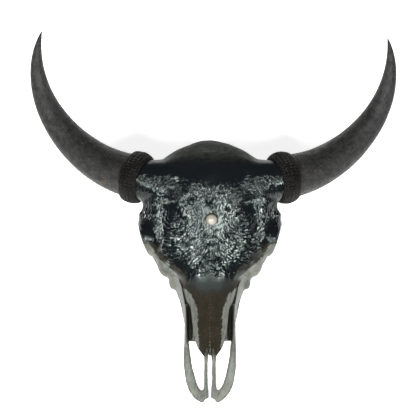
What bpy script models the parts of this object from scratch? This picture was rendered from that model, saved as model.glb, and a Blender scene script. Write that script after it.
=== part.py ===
"""A bison bull's skull with its horns, resting on its cheek teeth and the back of its base.

The nose points to -Y, the crown to +Y and the floor is at Z = 0. The bone is built up from
overlapping masses, hollowed, blended into one surface and then parted along its sutures.
Sizes are in millimetres unless a name says otherwise, and MM turns them into metres.
"""

import math

import bmesh
import bpy
import numpy as np
from mathutils import Matrix, Vector
from mathutils.bvhtree import BVHTree

MM = 0.001
GAP = 0.3  # left between pieces that touch
VOXEL = 3.0  # grain of the blended bone
BLEND_STEPS = 7  # smoothing passes over the blended bone
BONE_TRIANGLES = 8200  # left after thinning, before the sutures are cut

# The face leans back by this much from the floor, and the horns are set out in its plane.
FACE_TILT = math.radians(18)

# Stations along Y. Each row is a section across the skull.
# y, crest height, half width, fall to the edge, thickness at the crest
BROW_ROOF = (
    (-112, 141, 42, 12, 24),
    (-94, 147, 66, 18, 28),
    (-78, 153, 88, 24, 32),
    (-58, 160, 112, 28, 36),
    (-38, 168, 129, 31, 38),
    (-14, 178, 146, 35, 40),
    (8, 187, 147, 35, 42),
    (32, 197, 141, 30, 46),
    (56, 206, 139, 24, 54),
    (82, 213, 138, 18, 62),
    (106, 215, 130, 14, 70),
    (128, 213, 113, 12, 88),
    (146, 208, 96, 12, 100),
    (160, 201, 78, 12, 96),
    (172, 190, 52, 9, 72),
    (180, 179, 26, 4, 46),
)
# y, top, underside, half width at the top, half width at the underside
MUZZLE = (
    (2, 120, 52, 40, 60),
    (-22, 138, 34, 58, 80),
    (-48, 146, 24, 72, 90),
    (-76, 144, 23, 68, 91),
    (-104, 138, 23, 56, 84),
    (-134, 126, 23, 50, 71),
    (-164, 111, 25, 48, 62),
    (-190, 96, 35, 46, 55),
    (-216, 76, 38, 42, 48),
)
# y, top, underside, half width at the top, half width at the underside
NOSE_PASSAGE = (
    (-78, 96, 78, 8, 8),
    (-104, 128, 66, 26, 16),
    (-134, 134, 56, 38, 22),
    (-170, 132, 50, 41, 27),
    (-210, 130, 47, 42, 30),
    (-250, 128, 46, 44, 34),
)
# y, crest height, half width, fall to the edge, thickness
NASAL_PAIR = (
    (-54, 166.5, 3, 0.5, 6),
    (-70, 161.0, 17, 2, 7),
    (-92, 155.0, 35, 7, 7),
    (-116, 148.5, 43, 13, 7),
    (-146, 139.0, 40, 17, 7),
    (-176, 129.0, 37, 17, 6),
    (-206, 119.5, 33, 15, 6),
    (-234, 110.0, 26, 10, 5),
    (-254, 103.5, 13, 4, 4),
)
NASAL_BEND = 3  # flat on top, steep at the sides

# Limbs on the right half, mirrored onto the left. x, y, z, radius across, radius upward
HORN_PEDICEL = (
    (36, 86, 148, 62, 56),
    (74, 90, 153, 56, 51),
    (106, 94, 158, 49, 46),
    (130, 97, 161, 44, 44),
    (158, 105, 155, 44, 44),
)
CHEEK_ARCH = (
    (80, -78, 62, 12, 20),
    (100, -54, 76, 13, 20),
    (117, -26, 83, 11, 17),
    (127, 4, 84, 8, 14),
    (130, 34, 86, 7, 13),
    (128, 64, 92, 7, 13),
    (117, 92, 99, 9, 13),
    (96, 114, 106, 16, 16),
)
ORBIT_BAR = (
    (138, 27, 156, 8, 12),
    (138, 30, 128, 7, 10),
    (133, 27, 100, 7, 11),
    (128, 22, 82, 6, 11),
)
JAW_ANCHOR = (  # the paroccipital process, one of the points that the skull rests on
    (84, 114, 102, 32, 20),
    (75, 122, 70, 25, 15),
    (67, 126, 40, 18, 12),
    (61, 127, 14, 12.5, 9),
    (59, 126, -10, 10, 7),
)
BASE_BEAM = (
    (0, 150, 58, 26, 14),
    (0, 112, 50, 25, 15),
    (0, 74, 46, 22, 14),
    (0, 36, 52, 17, 13),
    (0, 6, 60, 15, 14),
)
PREMAXILLA = (
    (48, -150, 98, 4, 10),
    (48.5, -180, 86, 4.5, 14),
    (48, -212, 69, 6, 14),
    (47, -246, 54, 8, 11),
    (43, -280, 45, 11, 7),
    (34, -310, 40, 12, 5.5),
    (19, -329, 37, 11, 5),
    (10, -335, 36, 8, 5),
)
PALATE_PROCESS = (
    (8, -332, 37, 7, 5),
    (8, -300, 39, 6, 4.5),
    (8, -250, 42, 6, 5),
    (9, -196, 45, 9, 6),
)
PALATE_WING = (
    (26, 34, 66, 5, 22),
    (30, 8, 54, 6, 22),
    (40, -16, 46, 10, 18),
)

NOSE_SLOT = (  # the open notch between a nasal bone and the jaw
    (50, -138, 112, 0.8, 10),
    (47, -150, 107, 3, 16),
    (43, -165, 101, 5, 20),
    (41.5, -187, 93, 5.8, 24),
    (41, -206, 86, 6, 26),
    (41, -228, 80, 6, 30),
)

# Rounded masses: centre, radii, turn about X, Y and Z in degrees
BRAINCASE = ((0, 66, 124), (66, 88, 74), (0, 0, 0))
OCCIPUT = ((0, 120, 124), (116, 44, 64), (-4, 0, 0))
CREST = ((0, 132, 158), (98, 34, 36), (0, 0, 0))
NAPE_KNOB = ((0, 158, 146), (13, 12, 24), (0, 0, 0))
CONDYLE = ((28, 160, 62), (20, 22, 25), (20, 0, -18))
EAR_BULB = ((44, 96, 50), (15, 22, 19), (0, 0, 0))
CHEEK_TUBER = ((72, -84, 60), (13, 26, 16), (0, 0, 16))
MASTOID = ((94, 106, 104), (27, 24, 34), (0, 0, 0))
LACRIMAL = ((86, -60, 106), (24, 34, 26), (0, 0, 0))

# The eye socket opens along EYE_AXIS
EYE_CENTRE = (132, -15, 121)
EYE_AXIS = (0.93, -0.34, -0.10)
EYE_RIM_RADIUS = 37
EYE_RIM_THICK = 9.5
EYE_DEPTH = 58
EYE_OPENING = 28

NECK_HOLE_RADIUS = 19
NECK_HOLE_HEIGHT = 84
PALATE_VAULT = ((0, -92, 22), (30, 96, 16), (0, 0, 0))
THROAT = ((0, 6, 44), (19, 46, 24), (10, 0, 0))
CHEEK_HOLE = ((62, -142, 60), (12, 10, 6), (0, 0, 30))  # the infraorbital foramen
NAPE_PIT = ((44, 176, 124), (30, 13, 24), (0, 0, 8))

# Low relief of the brow, as gentle swellings: x, y, height, spread across, spread along
BROW_RELIEF = (
    (42, 56, 4.5, 24, 22),
    (66, 0, 6.0, 22, 20),
    (76, 30, -6.0, 18, 12),
    (88, -8, -4.5, 9, 26),
    (106, -10, 4.0, 12, 26),
    (112, 50, 4.0, 14, 24),
    (0, 62, -2.0, 12, 34),
    (0, -18, -2.5, 22, 22),
    (40, -40, -2.0, 22, 22),
)

BROW_RELIEF_ABOVE = 120

# Cheek teeth from front to back: length along the jaw, width across it
CHEEK_TEETH = ((16, 15), (17.5, 18), (18, 20), (25, 23), (28, 25), (29, 24))
TOOTH_FRONT_Y = -168
TOOTH_TOP = 36  # the root, sunk in the jaw
TOOTH_SIDES = 14
TOOTH_SPACE = 0.8
JAW_LINE = ((-170, 40), (-120, 52), (-70, 58), (-15, 54))  # y, distance of the row from the middle

# Horns. The path starts in the collar, along the outward direction, and turns towards the lift.
HORN_ROOT = (142.5, 101.5, 160.3)
HORN_OUT = (0.92, 0.20, -0.38)  # across, up the face, out of the face
HORN_LIFT = (0.0, 0.884, 0.468)
HORN_LENGTH = 433
HORN_STRAIGHT = 28  # the length in the collar, neither bent nor tapered
HORN_BASE_RADIUS = 45.6
HORN_FULLNESS = 1.25  # how long the horn stays thick
HORN_TAPER = 0.85
HORN_BEND_NEAR = 0.250  # degrees for each millimetre, up to HORN_BEND_CHANGE
HORN_BEND_FAR = 0.320
HORN_BEND_CHANGE = 228
HORN_ROLL = {"left": 4.6, "right": 0.8}  # degrees that the curve is lifted about its root
HORN_TIP_LEFT = 2  # keeps the tip from closing to a point
HORN_SIDES = 16
HORN_RINGS = 22

COLLAR_WIDTH = 33
COLLAR_INNER = 46.1
COLLAR_OUTER = 52.8
COLLAR_BACK = 10  # how far the collar reaches back over the bone
COLLAR_BULGE = 0.06  # how far its sides swell past its foot, as a part of half its width
COLLAR_CELLS = 18  # crossings of the plait round the collar
COLLAR_RELIEF = 0.9
COLLAR_ROUNDS = 5  # facets across its width
COLLAR_SEAT_SIDES = 40

PEARL_RADIUS = 11
PEARL_SEAT = 2.5  # how deep the pearl sits in its setting
PEARL_AT = (3, 6)
SETTING_RADIUS = 12.2
SETTING_HEIGHT = 3.2

SUTURE_WIDTH = 0.36
# Sutures, as lines seen from the side: y, z
FACE_SUTURE = ((-128, 190), (-96, 140), (-66, 112), (-60, 78), (-34, 54), (10, 30), (18, -10))
NOSE_SUTURE = ((-146, 150), (-158, 104), (-192, 72), (-210, 46), (-206, 10))


def face_vector(across, up_face, out_of_face):
    """Turns a direction set out on the face's plane into the frame of the skull."""
    y = up_face * math.cos(FACE_TILT) - out_of_face * math.sin(FACE_TILT)
    z = up_face * math.sin(FACE_TILT) + out_of_face * math.cos(FACE_TILT)
    return Vector((across, y, z))


def read_smoothly(rows, count):
    """Reads a table of stations at even steps, along a smooth curve through its rows."""
    table = np.array(rows, float)
    slopes = np.gradient(table, axis=0)
    at = np.linspace(0, len(table) - 1, count)
    row = np.minimum(at.astype(int), len(table) - 2)
    t = (at - row)[:, None]
    start = (2 * t**3 - 3 * t**2 + 1) * table[row] + (t**3 - 2 * t**2 + t) * slopes[row]
    end = (3 * t**2 - 2 * t**3) * table[row + 1] + (t**3 - t**2) * slopes[row + 1]
    return start + end


def add_loft(mesh, rings):
    """Adds a closed solid through rings of points, with flat ends."""
    loops = [[mesh.verts.new(Vector(p) * MM) for p in ring] for ring in rings]
    sides = len(loops[0])
    faces = []
    for near, far in zip(loops, loops[1:]):
        for i in range(sides):
            j = (i + 1) % sides
            faces.append(mesh.faces.new((near[i], near[j], far[j], far[i])))
    faces.append(mesh.faces.new(loops[0][::-1]))
    faces.append(mesh.faces.new(loops[-1]))
    bmesh.ops.recalc_face_normals(mesh, faces=faces)


def rounded(angle, squareness):
    """A point of a unit superellipse."""
    c, s = math.cos(angle), math.sin(angle)
    return (
        math.copysign(abs(c) ** (2 / squareness), c),
        math.copysign(abs(s) ** (2 / squareness), s),
    )


def add_vault(mesh, rows, count, sides=48, bend=2, grow=0.0):
    """Adds a curved slab whose sections fall away to both edges, larger by grow all round."""
    rings = []
    for y, crest, half, fall, thick in read_smoothly(rows, count):
        ring = []
        for i in range(sides):
            across, up = rounded(2 * math.pi * i / sides, 2.6)
            x = across * (half + grow)
            z = crest - thick / 2 + up * (thick / 2 + grow) - fall * abs(x / half) ** bend
            ring.append((x, y, z))
        rings.append(ring)
    add_loft(mesh, rings)


def add_trunk(mesh, rows, count, sides=40, squareness=3.2):
    """Adds a solid whose sections are wider or narrower at the top than at the underside."""
    rings = []
    for y, top, low, wide_top, wide_low in read_smoothly(rows, count):
        ring = []
        for i in range(sides):
            across, up = rounded(2 * math.pi * i / sides, squareness)
            half = wide_low + (wide_top - wide_low) * (up + 1) / 2
            ring.append((across * half, y, (top + low) / 2 + up * (top - low) / 2))
        rings.append(ring)
    add_loft(mesh, rings)


def add_limb(mesh, rows, count=24, sides=20, upright=(0, 0, 1)):
    """Adds a tapering limb of oval section along a smooth path."""
    table = read_smoothly(rows, count)
    path = table[:, :3]
    along = np.gradient(path, axis=0)
    rings = []
    for point, tangent, (across, up) in zip(path, along, table[:, 3:]):
        forward = Vector(tangent).normalized()
        side = forward.cross(Vector(upright)).normalized()
        rise = side.cross(forward)
        ring = []
        for i in range(sides):
            angle = 2 * math.pi * i / sides
            offset = side * across * math.cos(angle) + rise * up * math.sin(angle)
            ring.append(Vector(point) + offset)
        rings.append(ring)
    add_loft(mesh, rings)


def add_ball(mesh, centre, radii, turn):
    """Adds an ellipsoid."""
    angles = [math.radians(a) for a in turn]
    rotation = (
        Matrix.Rotation(angles[2], 4, "Z")
        @ Matrix.Rotation(angles[1], 4, "Y")
        @ Matrix.Rotation(angles[0], 4, "X")
    )
    scale = Matrix.Diagonal((*(Vector(radii) * MM), 1))
    place = Matrix.Translation(Vector(centre) * MM)
    bmesh.ops.create_uvsphere(
        mesh, u_segments=36, v_segments=24, radius=1, matrix=place @ rotation @ scale
    )


def add_rod(mesh, start, end, radius):
    """Adds a straight round rod."""
    middle = (Vector(start) + Vector(end)) / 2 * MM
    span = Vector(end) - Vector(start)
    turn = span.to_track_quat("Z", "Y").to_matrix().to_4x4()
    bmesh.ops.create_cone(
        mesh,
        cap_ends=True,
        segments=32,
        radius1=radius * MM,
        radius2=radius * MM,
        depth=span.length * MM,
        matrix=Matrix.Translation(middle) @ turn,
    )


def add_eye_rim(mesh):
    """Adds the raised ring round the eye socket."""
    axis = Vector(EYE_AXIS).normalized()
    turn = axis.to_track_quat("Z", "Y")
    steps = 36
    sides = 12
    loops = []
    for i in range(steps):
        angle = 2 * math.pi * i / steps
        outward = turn @ Vector((math.cos(angle), math.sin(angle), 0))
        loop = []
        for k in range(sides):
            swing = 2 * math.pi * k / sides
            reach = EYE_RIM_RADIUS + EYE_RIM_THICK * math.cos(swing) - EYE_RIM_THICK / 2
            offset = outward * reach + axis * (EYE_RIM_THICK * 1.5 * math.sin(swing) - 6)
            loop.append(mesh.verts.new((Vector(EYE_CENTRE) + offset) * MM))
        loops.append(loop)
    faces = []
    for i, near in enumerate(loops):
        far = loops[(i + 1) % steps]
        for k in range(sides):
            n = (k + 1) % sides
            faces.append(mesh.faces.new((near[k], near[n], far[n], far[k])))
    bmesh.ops.recalc_face_normals(mesh, faces=faces)


def mirrored(build):
    """Runs build on an empty mesh, and returns that mesh with its mirror image across X added."""
    half = bmesh.new()
    build(half)
    twin = half.copy()
    bmesh.ops.scale(twin, vec=(-1, 1, 1), verts=twin.verts)
    bmesh.ops.reverse_faces(twin, faces=twin.faces)
    both = bpy.data.meshes.new("both_sides")
    twin.to_mesh(both)
    half.from_mesh(both)
    bpy.data.meshes.remove(both)
    twin.free()
    return half


def new_object(name, mesh):
    """Puts a bmesh into the scene as an object."""
    data = bpy.data.meshes.new(name)
    mesh.to_mesh(data)
    mesh.free()
    made = bpy.data.objects.new(name, data)
    bpy.context.scene.collection.objects.link(made)
    return made


def settle(obj):
    """Applies an object's modifiers."""
    bpy.context.view_layer.update()
    graph = bpy.context.evaluated_depsgraph_get()
    made = bpy.data.meshes.new_from_object(obj.evaluated_get(graph))
    obj.modifiers.clear()
    old = obj.data
    obj.data = made
    bpy.data.meshes.remove(old)
    return obj


def remeshed(obj):
    """Fuses overlapping solids into one surface of even grain."""
    fuse = obj.modifiers.new("Fuse", "REMESH")
    fuse.mode = "VOXEL"
    fuse.voxel_size = VOXEL * MM
    return settle(obj)


def cut_with(obj, cutter, operation="DIFFERENCE"):
    """Combines an object with a cutter, which is then removed."""
    cut = obj.modifiers.new("Cut", "BOOLEAN")
    cut.operation = operation
    cut.solver = "MANIFOLD"
    cut.object = cutter
    settle(obj)
    bpy.data.objects.remove(cutter)
    return obj


def box(name, low, high):
    """A box between two corners."""
    mesh = bmesh.new()
    size = Vector(high) - Vector(low)
    middle = (Vector(high) + Vector(low)) / 2
    place = Matrix.Translation(middle * MM) @ Matrix.Diagonal((*(size * MM), 1))
    bmesh.ops.create_cube(mesh, size=1, matrix=place)
    return new_object(name, mesh)


def bone_masses():
    """All the bone's masses, overlapping one another."""

    def side(mesh):
        add_limb(mesh, HORN_PEDICEL)
        add_limb(mesh, CHEEK_ARCH)
        add_limb(mesh, ORBIT_BAR, upright=(1, 0, 0))
        add_limb(mesh, JAW_ANCHOR, upright=(0, 1, 0))
        add_limb(mesh, PREMAXILLA)
        add_limb(mesh, PALATE_PROCESS)
        add_limb(mesh, PALATE_WING)
        add_eye_rim(mesh)
        for ball in (CONDYLE, EAR_BULB, CHEEK_TUBER, MASTOID, LACRIMAL):
            add_ball(mesh, *ball)

    mesh = mirrored(side)
    add_vault(mesh, BROW_ROOF, 40)
    add_trunk(mesh, MUZZLE, 32)
    add_limb(mesh, BASE_BEAM)
    for ball in (BRAINCASE, OCCIPUT, CREST, NAPE_KNOB):
        add_ball(mesh, *ball)
    return remeshed(new_object("bone", mesh))


def bone_hollows():
    """Everything that is hollowed out of the bone."""
    axis = Vector(EYE_AXIS).normalized()
    turn = [math.degrees(a) for a in axis.to_track_quat("Z", "Y").to_euler()]
    sink = Vector(EYE_CENTRE) - axis * (EYE_DEPTH * 0.45)

    def side(mesh):
        add_ball(mesh, sink, (EYE_OPENING, EYE_OPENING, EYE_DEPTH), turn)
        add_limb(mesh, NOSE_SLOT)
        for ball in (CHEEK_HOLE, NAPE_PIT):
            add_ball(mesh, *ball)

    mesh = mirrored(side)
    add_trunk(mesh, NOSE_PASSAGE, 24, squareness=2.4)
    add_rod(
        mesh,
        (0, 96, NECK_HOLE_HEIGHT + 6),
        (0, 200, NECK_HOLE_HEIGHT - 6),
        NECK_HOLE_RADIUS,
    )
    for ball in (PALATE_VAULT, THROAT):
        add_ball(mesh, *ball)
    return remeshed(new_object("hollows", mesh))


def raise_relief(obj):
    """Moves the brow's surface along its normals by the low relief of the frontal bones."""
    count = len(obj.data.vertices)
    places = np.empty(count * 3, np.float32)
    normals = np.empty(count * 3, np.float32)
    obj.data.vertices.foreach_get("co", places)
    obj.data.vertices.foreach_get("normal", normals)
    places = places.reshape(-1, 3)
    normals = normals.reshape(-1, 3)
    x, y, z = (places / MM).T
    lift = np.zeros(count)
    for across, along, height, wide, long in BROW_RELIEF:
        reach = ((np.abs(x) - across) / wide) ** 2 + ((y - along) / long) ** 2
        lift += height * np.exp(-reach)
    lift *= np.clip(normals[:, 2], 0, 1) * (z > BROW_RELIEF_ABOVE)
    places += normals * (lift * MM)[:, None]
    obj.data.vertices.foreach_set("co", places.ravel())
    obj.data.update()


def blended_bone():
    """The whole bone in one piece, with flat feet at the floor."""
    bone = cut_with(bone_masses(), bone_hollows())
    remeshed(bone)
    blend = bone.modifiers.new("Blend", "SMOOTH")
    blend.factor = 0.5
    blend.iterations = BLEND_STEPS
    settle(bone)
    raise_relief(bone)
    thin = bone.modifiers.new("Thin", "DECIMATE")
    thin.ratio = BONE_TRIANGLES / (2 * len(bone.data.polygons))
    thin.use_symmetry = True
    settle(bone)
    cut_with(bone, box("below_floor", (-300, -500, -60), (300, 500, 0)))
    return bone


def prism(name, outline, low, high):
    """A solid whose outline is drawn from the side, from x = low to x = high."""
    mesh = bmesh.new()
    add_loft(mesh, [[(x, y, z) for y, z in outline] for x in (low, high)])
    return new_object(name, mesh)


def suture_sheet(name, line, half_width):
    """A thin sheet along a suture, right across the skull."""
    front = [(y - SUTURE_WIDTH / 2, z) for y, z in line]
    back = [(y + SUTURE_WIDTH / 2, z) for y, z in line]
    return prism(name, front + back[::-1], -half_width, half_width)


def loose_pieces(obj):
    """Splits an object into its closed surfaces, and keeps the two largest, the nearer to +Y first."""
    for other in bpy.context.selected_objects:
        other.select_set(False)
    obj.select_set(True)
    bpy.context.view_layer.objects.active = obj
    bpy.ops.mesh.separate(type="LOOSE")
    pieces = sorted(bpy.context.selected_objects, key=lambda o: -math.prod(o.dimensions))
    for scrap in pieces[2:]:
        bpy.data.objects.remove(scrap)
    return pieces[:2]


def centre_of(obj):
    """The middle of an object's box."""
    corners = [obj.matrix_world @ Vector(c) for c in obj.bound_box]
    return sum(corners, Vector()) / len(corners)


def halves(obj, name, sheet, axis, names):
    """Parts an object along a sheet and names the half at lower coordinates first."""
    cut_with(obj, sheet)
    pair = sorted(loose_pieces(obj), key=lambda o: centre_of(o)[axis])
    for piece, side in zip(pair, names):
        piece.name = name.format(side)
    return pair


def midline_sheet():
    """A thin sheet along the middle of the skull."""
    return box("midline", (-GAP / 2, -500, -60), (GAP / 2, 500, 400))


def nasal_bones():
    """The two nasal bones that roof the nose."""
    mesh = bmesh.new()
    add_vault(mesh, NASAL_PAIR, 18, sides=22, bend=NASAL_BEND)
    pair = new_object("nasals", mesh)
    return halves(pair, "nasal_{}", midline_sheet(), 0, ("left", "right"))


def nasal_seat():
    """The space that the nasal bones take from the bone round them."""
    mesh = bmesh.new()
    add_vault(mesh, NASAL_PAIR, 18, sides=22, bend=NASAL_BEND, grow=GAP)
    return new_object("nasal_seat", mesh)


def add_tooth(mesh, x, y, length, width, lobes):
    """Adds one cheek tooth as an upright prism, waisted between its lobes, standing on the floor."""
    outline = []
    for i in range(TOOTH_SIDES):
        across, along = rounded(2 * math.pi * (i + 0.5) / TOOTH_SIDES, 3.4)
        waist = 1 - 0.16 * math.exp(-((along / 0.3) ** 2)) if lobes == 2 else 1
        outline.append((x + across * width / 2 * waist, y + along * length / 2))
    add_loft(mesh, [[(px, py, z) for px, py in outline] for z in (0, TOOTH_TOP)])


def tooth_row(side):
    """The six cheek teeth of one side, as one object."""
    mesh = bmesh.new()
    y = TOOTH_FRONT_Y
    line_y, line_x = zip(*JAW_LINE)
    for i, (length, width) in enumerate(CHEEK_TEETH):
        middle = y + length / 2
        x = side * float(np.interp(middle, line_y, line_x))
        add_tooth(mesh, x, middle, length - TOOTH_SPACE, width, lobes=1 if i < 3 else 2)
        y += length
    return new_object("tooth_row", mesh)


def horn_frame(side, roll):
    """The horn's outward and lift directions in the skull's frame."""
    turn = Matrix.Rotation(math.radians(roll), 3, "Z")
    out = turn @ Vector(HORN_OUT)
    lift = turn @ Vector(HORN_LIFT)
    out, lift = face_vector(*out), face_vector(*lift)
    flip = Vector((side, 1, 1))
    return (out * flip).normalized(), (lift * flip).normalized()


def horn_path(side, roll):
    """Points, directions and distances along the middle of a horn."""
    out, lift = horn_frame(side, roll)
    point = Vector(HORN_ROOT) * Vector((side, 1, 1))
    bends = (0, HORN_BEND_NEAR, HORN_BEND_FAR)
    step = HORN_LENGTH / HORN_RINGS
    walk = []
    turned = 0.0
    for i in range(HORN_RINGS + 1):
        along = i * step
        angle = math.radians(turned)
        direction = out * math.cos(angle) + lift * math.sin(angle)
        walk.append((point.copy(), direction, along))
        change = bends[(along >= HORN_STRAIGHT) + (along >= HORN_BEND_CHANGE)] * step
        middle = math.radians(turned + change / 2)
        point += (out * math.cos(middle) + lift * math.sin(middle)) * step
        turned += change
    return walk


def horn_radius(along):
    """The radius of a horn at a distance from its root."""
    run = HORN_LENGTH + HORN_TIP_LEFT - HORN_STRAIGHT
    gone = max(0, along - HORN_STRAIGHT) / run
    return HORN_BASE_RADIUS * (1 - gone**HORN_FULLNESS) ** HORN_TAPER


def round_ring(point, direction, radius, sides, upright):
    """A circle of points round a direction."""
    side = direction.cross(upright).normalized()
    rise = side.cross(direction)
    ring = []
    for i in range(sides):
        angle = 2 * math.pi * i / sides
        ring.append(point + (side * math.cos(angle) + rise * math.sin(angle)) * radius)
    return ring


def horn(name, side, roll):
    """One horn sheath, solid, from its root to its tip."""
    mesh = bmesh.new()
    out, lift = horn_frame(side, roll)
    upright = out.cross(lift)
    rings = []
    for point, direction, along in horn_path(side, roll):
        start = point + direction * (GAP / 2 if along == 0 else 0)
        rings.append(round_ring(start, direction, horn_radius(along), HORN_SIDES, upright))
    add_loft(mesh, rings)
    return new_object(name, mesh)


def ring_solid(name, side, roll, profile, steps):
    """A closed ring round a horn's root. profile(angle) gives distances along and from its middle."""
    out, lift = horn_frame(side, roll)
    root = Vector(HORN_ROOT) * Vector((side, 1, 1))
    across = out.cross(lift)
    mesh = bmesh.new()
    loops = []
    for i in range(steps):
        angle = 2 * math.pi * i / steps
        radial = lift * math.cos(angle) + across * math.sin(angle)
        loops.append([mesh.verts.new((root + out * a + radial * r) * MM) for a, r in profile(angle)])
    faces = []
    for i, near in enumerate(loops):
        far = loops[(i + 1) % steps]
        for k in range(len(near)):
            n = (k + 1) % len(near)
            faces.append(mesh.faces.new((near[k], near[n], far[n], far[k])))
    bmesh.ops.recalc_face_normals(mesh, faces=faces)
    return new_object(name, mesh)


def pedicel_trim(side, roll):
    """Cuts the bone off square where a horn begins."""
    out, _ = horn_frame(side, roll)
    root = Vector(HORN_ROOT) * Vector((side, 1, 1))
    mesh = bmesh.new()
    add_rod(mesh, root - out * GAP / 2, root + out * 60, HORN_BASE_RADIUS * 1.5)
    return new_object("pedicel_trim", mesh)


def collar_seat(side, roll):
    """Clears the bone round its core where the collar goes."""
    core = COLLAR_INNER - GAP
    rim = COLLAR_OUTER * 1.3
    back = -COLLAR_BACK - COLLAR_BULGE * COLLAR_WIDTH / 2 - GAP

    def profile(_):
        return ((back, core), (GAP, core), (GAP, rim), (back, rim))

    return ring_solid("collar_seat", side, roll, profile, COLLAR_SEAT_SIDES)


def collar(name, side, roll):
    """The plaited cord collar round the root of one horn."""

    def profile(angle):
        section = [(-COLLAR_BACK, COLLAR_INNER), (COLLAR_WIDTH - COLLAR_BACK, COLLAR_INNER)]
        for k in range(COLLAR_ROUNDS + 1):
            swing = math.pi * k / COLLAR_ROUNDS
            weave = COLLAR_CELLS * angle
            plait = math.cos(weave + 2 * swing) * math.cos(weave - 2 * swing) * math.sin(swing)
            height = (COLLAR_OUTER - COLLAR_INNER) * math.sin(swing) ** 0.6
            along = COLLAR_WIDTH / 2 * (1 + math.cos(swing) * (1 + COLLAR_BULGE)) - COLLAR_BACK
            section.append((along, COLLAR_INNER + 1 + height * 0.86 + COLLAR_RELIEF * plait))
        return section

    return ring_solid(name, side, roll, profile, COLLAR_CELLS * 4)


def surface_under(obj, x, y):
    """The point of an object's upper surface over x, y, and the slope's normal there."""
    tree = BVHTree.FromObject(obj, bpy.context.evaluated_depsgraph_get())
    reach = 10
    spots = [(x, y), (x + reach, y), (x - reach, y), (x, y + reach), (x, y - reach)]
    hits = [tree.ray_cast(Vector((px, py, 400)) * MM, Vector((0, 0, -1)))[0] for px, py in spots]
    normal = (hits[1] - hits[2]).cross(hits[3] - hits[4]).normalized()
    return hits[0] / MM, normal


def turned(name, profile, foot, axis, steps):
    """A closed turned piece, whose profile is radius and height over its foot."""
    mesh = bmesh.new()
    across = axis.orthogonal()
    rings = [round_ring(foot + axis * h, axis, r, steps, across) for r, h in profile]
    add_loft(mesh, rings)
    return new_object(name, mesh)


def pearl_and_setting(bone):
    """Seats the pearl and its setting in the brow."""
    spot, normal = surface_under(bone, *PEARL_AT)
    floor = spot - normal * PEARL_SEAT
    mesh = bmesh.new()
    add_rod(mesh, floor, floor + normal * 40, SETTING_RADIUS + GAP)
    cut_with(bone, new_object("pearl_seat", mesh))
    foot = floor + normal * GAP
    lip = SETTING_HEIGHT
    cup = PEARL_RADIUS + GAP
    plate = 1.0
    wall = ((SETTING_RADIUS, 0), (SETTING_RADIUS, lip - 0.8), (SETTING_RADIUS - 0.5, lip))
    inside = ((cup, lip), (cup, plate + 1.2), (cup - 1.4, plate))
    turned("setting", (*wall, *inside), foot, normal, 24)
    base = foot + normal * (plate + GAP)
    low = PEARL_RADIUS * 0.42
    rows = 6
    profile = []
    for i in range(rows):
        height = -low + (PEARL_RADIUS + low) * math.sin(math.pi / 2 * i / rows)
        profile.append((math.sqrt(PEARL_RADIUS**2 - height**2), height + low))
    profile.append((PEARL_RADIUS * 0.06, PEARL_RADIUS + low))
    turned("pearl", profile, base, normal, 20)


# Colour and roughness of each finish
FINISHES = {
    "lacquered_bone": ((0.012, 0.014, 0.015), 0.28),
    "bare_bone": ((0.30, 0.29, 0.26), 0.45),
    "horn": ((0.045, 0.047, 0.046), 0.62),
    "cord": ((0.010, 0.010, 0.009), 0.85),
    "pearl": ((0.80, 0.77, 0.70), 0.18),
    "bronze": ((0.16, 0.13, 0.09), 0.40),
}
FINISH_OF = {
    "cranium": "lacquered_bone",
    "nasal": "lacquered_bone",
    "maxilla": "bare_bone",
    "premaxilla": "bare_bone",
    "horn": "horn",
    "collar": "cord",
    "pearl": "pearl",
    "setting": "bronze",
}


def paint():
    """Gives every piece its material."""
    made = {}
    for name, (colour, roughness) in FINISHES.items():
        material = bpy.data.materials.new(name)
        material.use_nodes = True
        shader = material.node_tree.nodes["Principled BSDF"]
        shader.inputs["Base Color"].default_value = (*colour, 1)
        shader.inputs["Roughness"].default_value = roughness
        shader.inputs["Metallic"].default_value = 1.0 if name == "bronze" else 0.0
        made[name] = material
    for obj in bpy.context.scene.objects:
        obj.data.materials.append(made[FINISH_OF[obj.name.split("_")[0]]])


def centre_on_origin():
    """Moves everything so that the middle of the underside of the whole box is the origin."""
    pieces = list(bpy.context.scene.objects)
    corners = np.array([corner for obj in pieces for corner in obj.bound_box])
    low, high = corners.min(axis=0), corners.max(axis=0)
    middle = (low + high) / 2
    shift = Matrix.Translation((-middle[0], -middle[1], -low[2]))
    for obj in pieces:
        obj.data.transform(shift)


def main():
    """Builds the skull."""
    for obj in list(bpy.data.objects):
        bpy.data.objects.remove(obj)
    bone = blended_bone()
    sides = (("left", -1), ("right", 1))
    for word, side in sides:
        cut_with(bone, pedicel_trim(side, HORN_ROLL[word]))
        cut_with(bone, collar_seat(side, HORN_ROLL[word]))
    cut_with(bone, nasal_seat())
    pearl_and_setting(bone)
    face, cranium = halves(
        bone, "{}", suture_sheet("face_suture", FACE_SUTURE, 300), 1, ("face", "cranium")
    )
    for (word, side), cheek in zip(sides, halves(face, "{}", midline_sheet(), 0, ("a", "b"))):
        sheet = suture_sheet("nose_suture", NOSE_SUTURE, 300)
        names = ("premaxilla_" + word, "maxilla_" + word)
        _, maxilla = halves(cheek, "{}", sheet, 1, names)
        cut_with(maxilla, tooth_row(side), operation="UNION")
        horn("horn_" + word, side, HORN_ROLL[word])
        collar("collar_" + word, side, HORN_ROLL[word])
    nasal_bones()
    paint()
    centre_on_origin()


main()
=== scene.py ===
"""A bison skull with cord collars round its horns and a pearl on its brow, over its solids."""

import logging
import math
from collections.abc import Callable, Sequence
from dataclasses import dataclass
from enum import Enum

import bmesh
import bpy
import numpy as np
from mathutils import Matrix, Vector, noise
from mathutils.bvhtree import BVHTree


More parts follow.
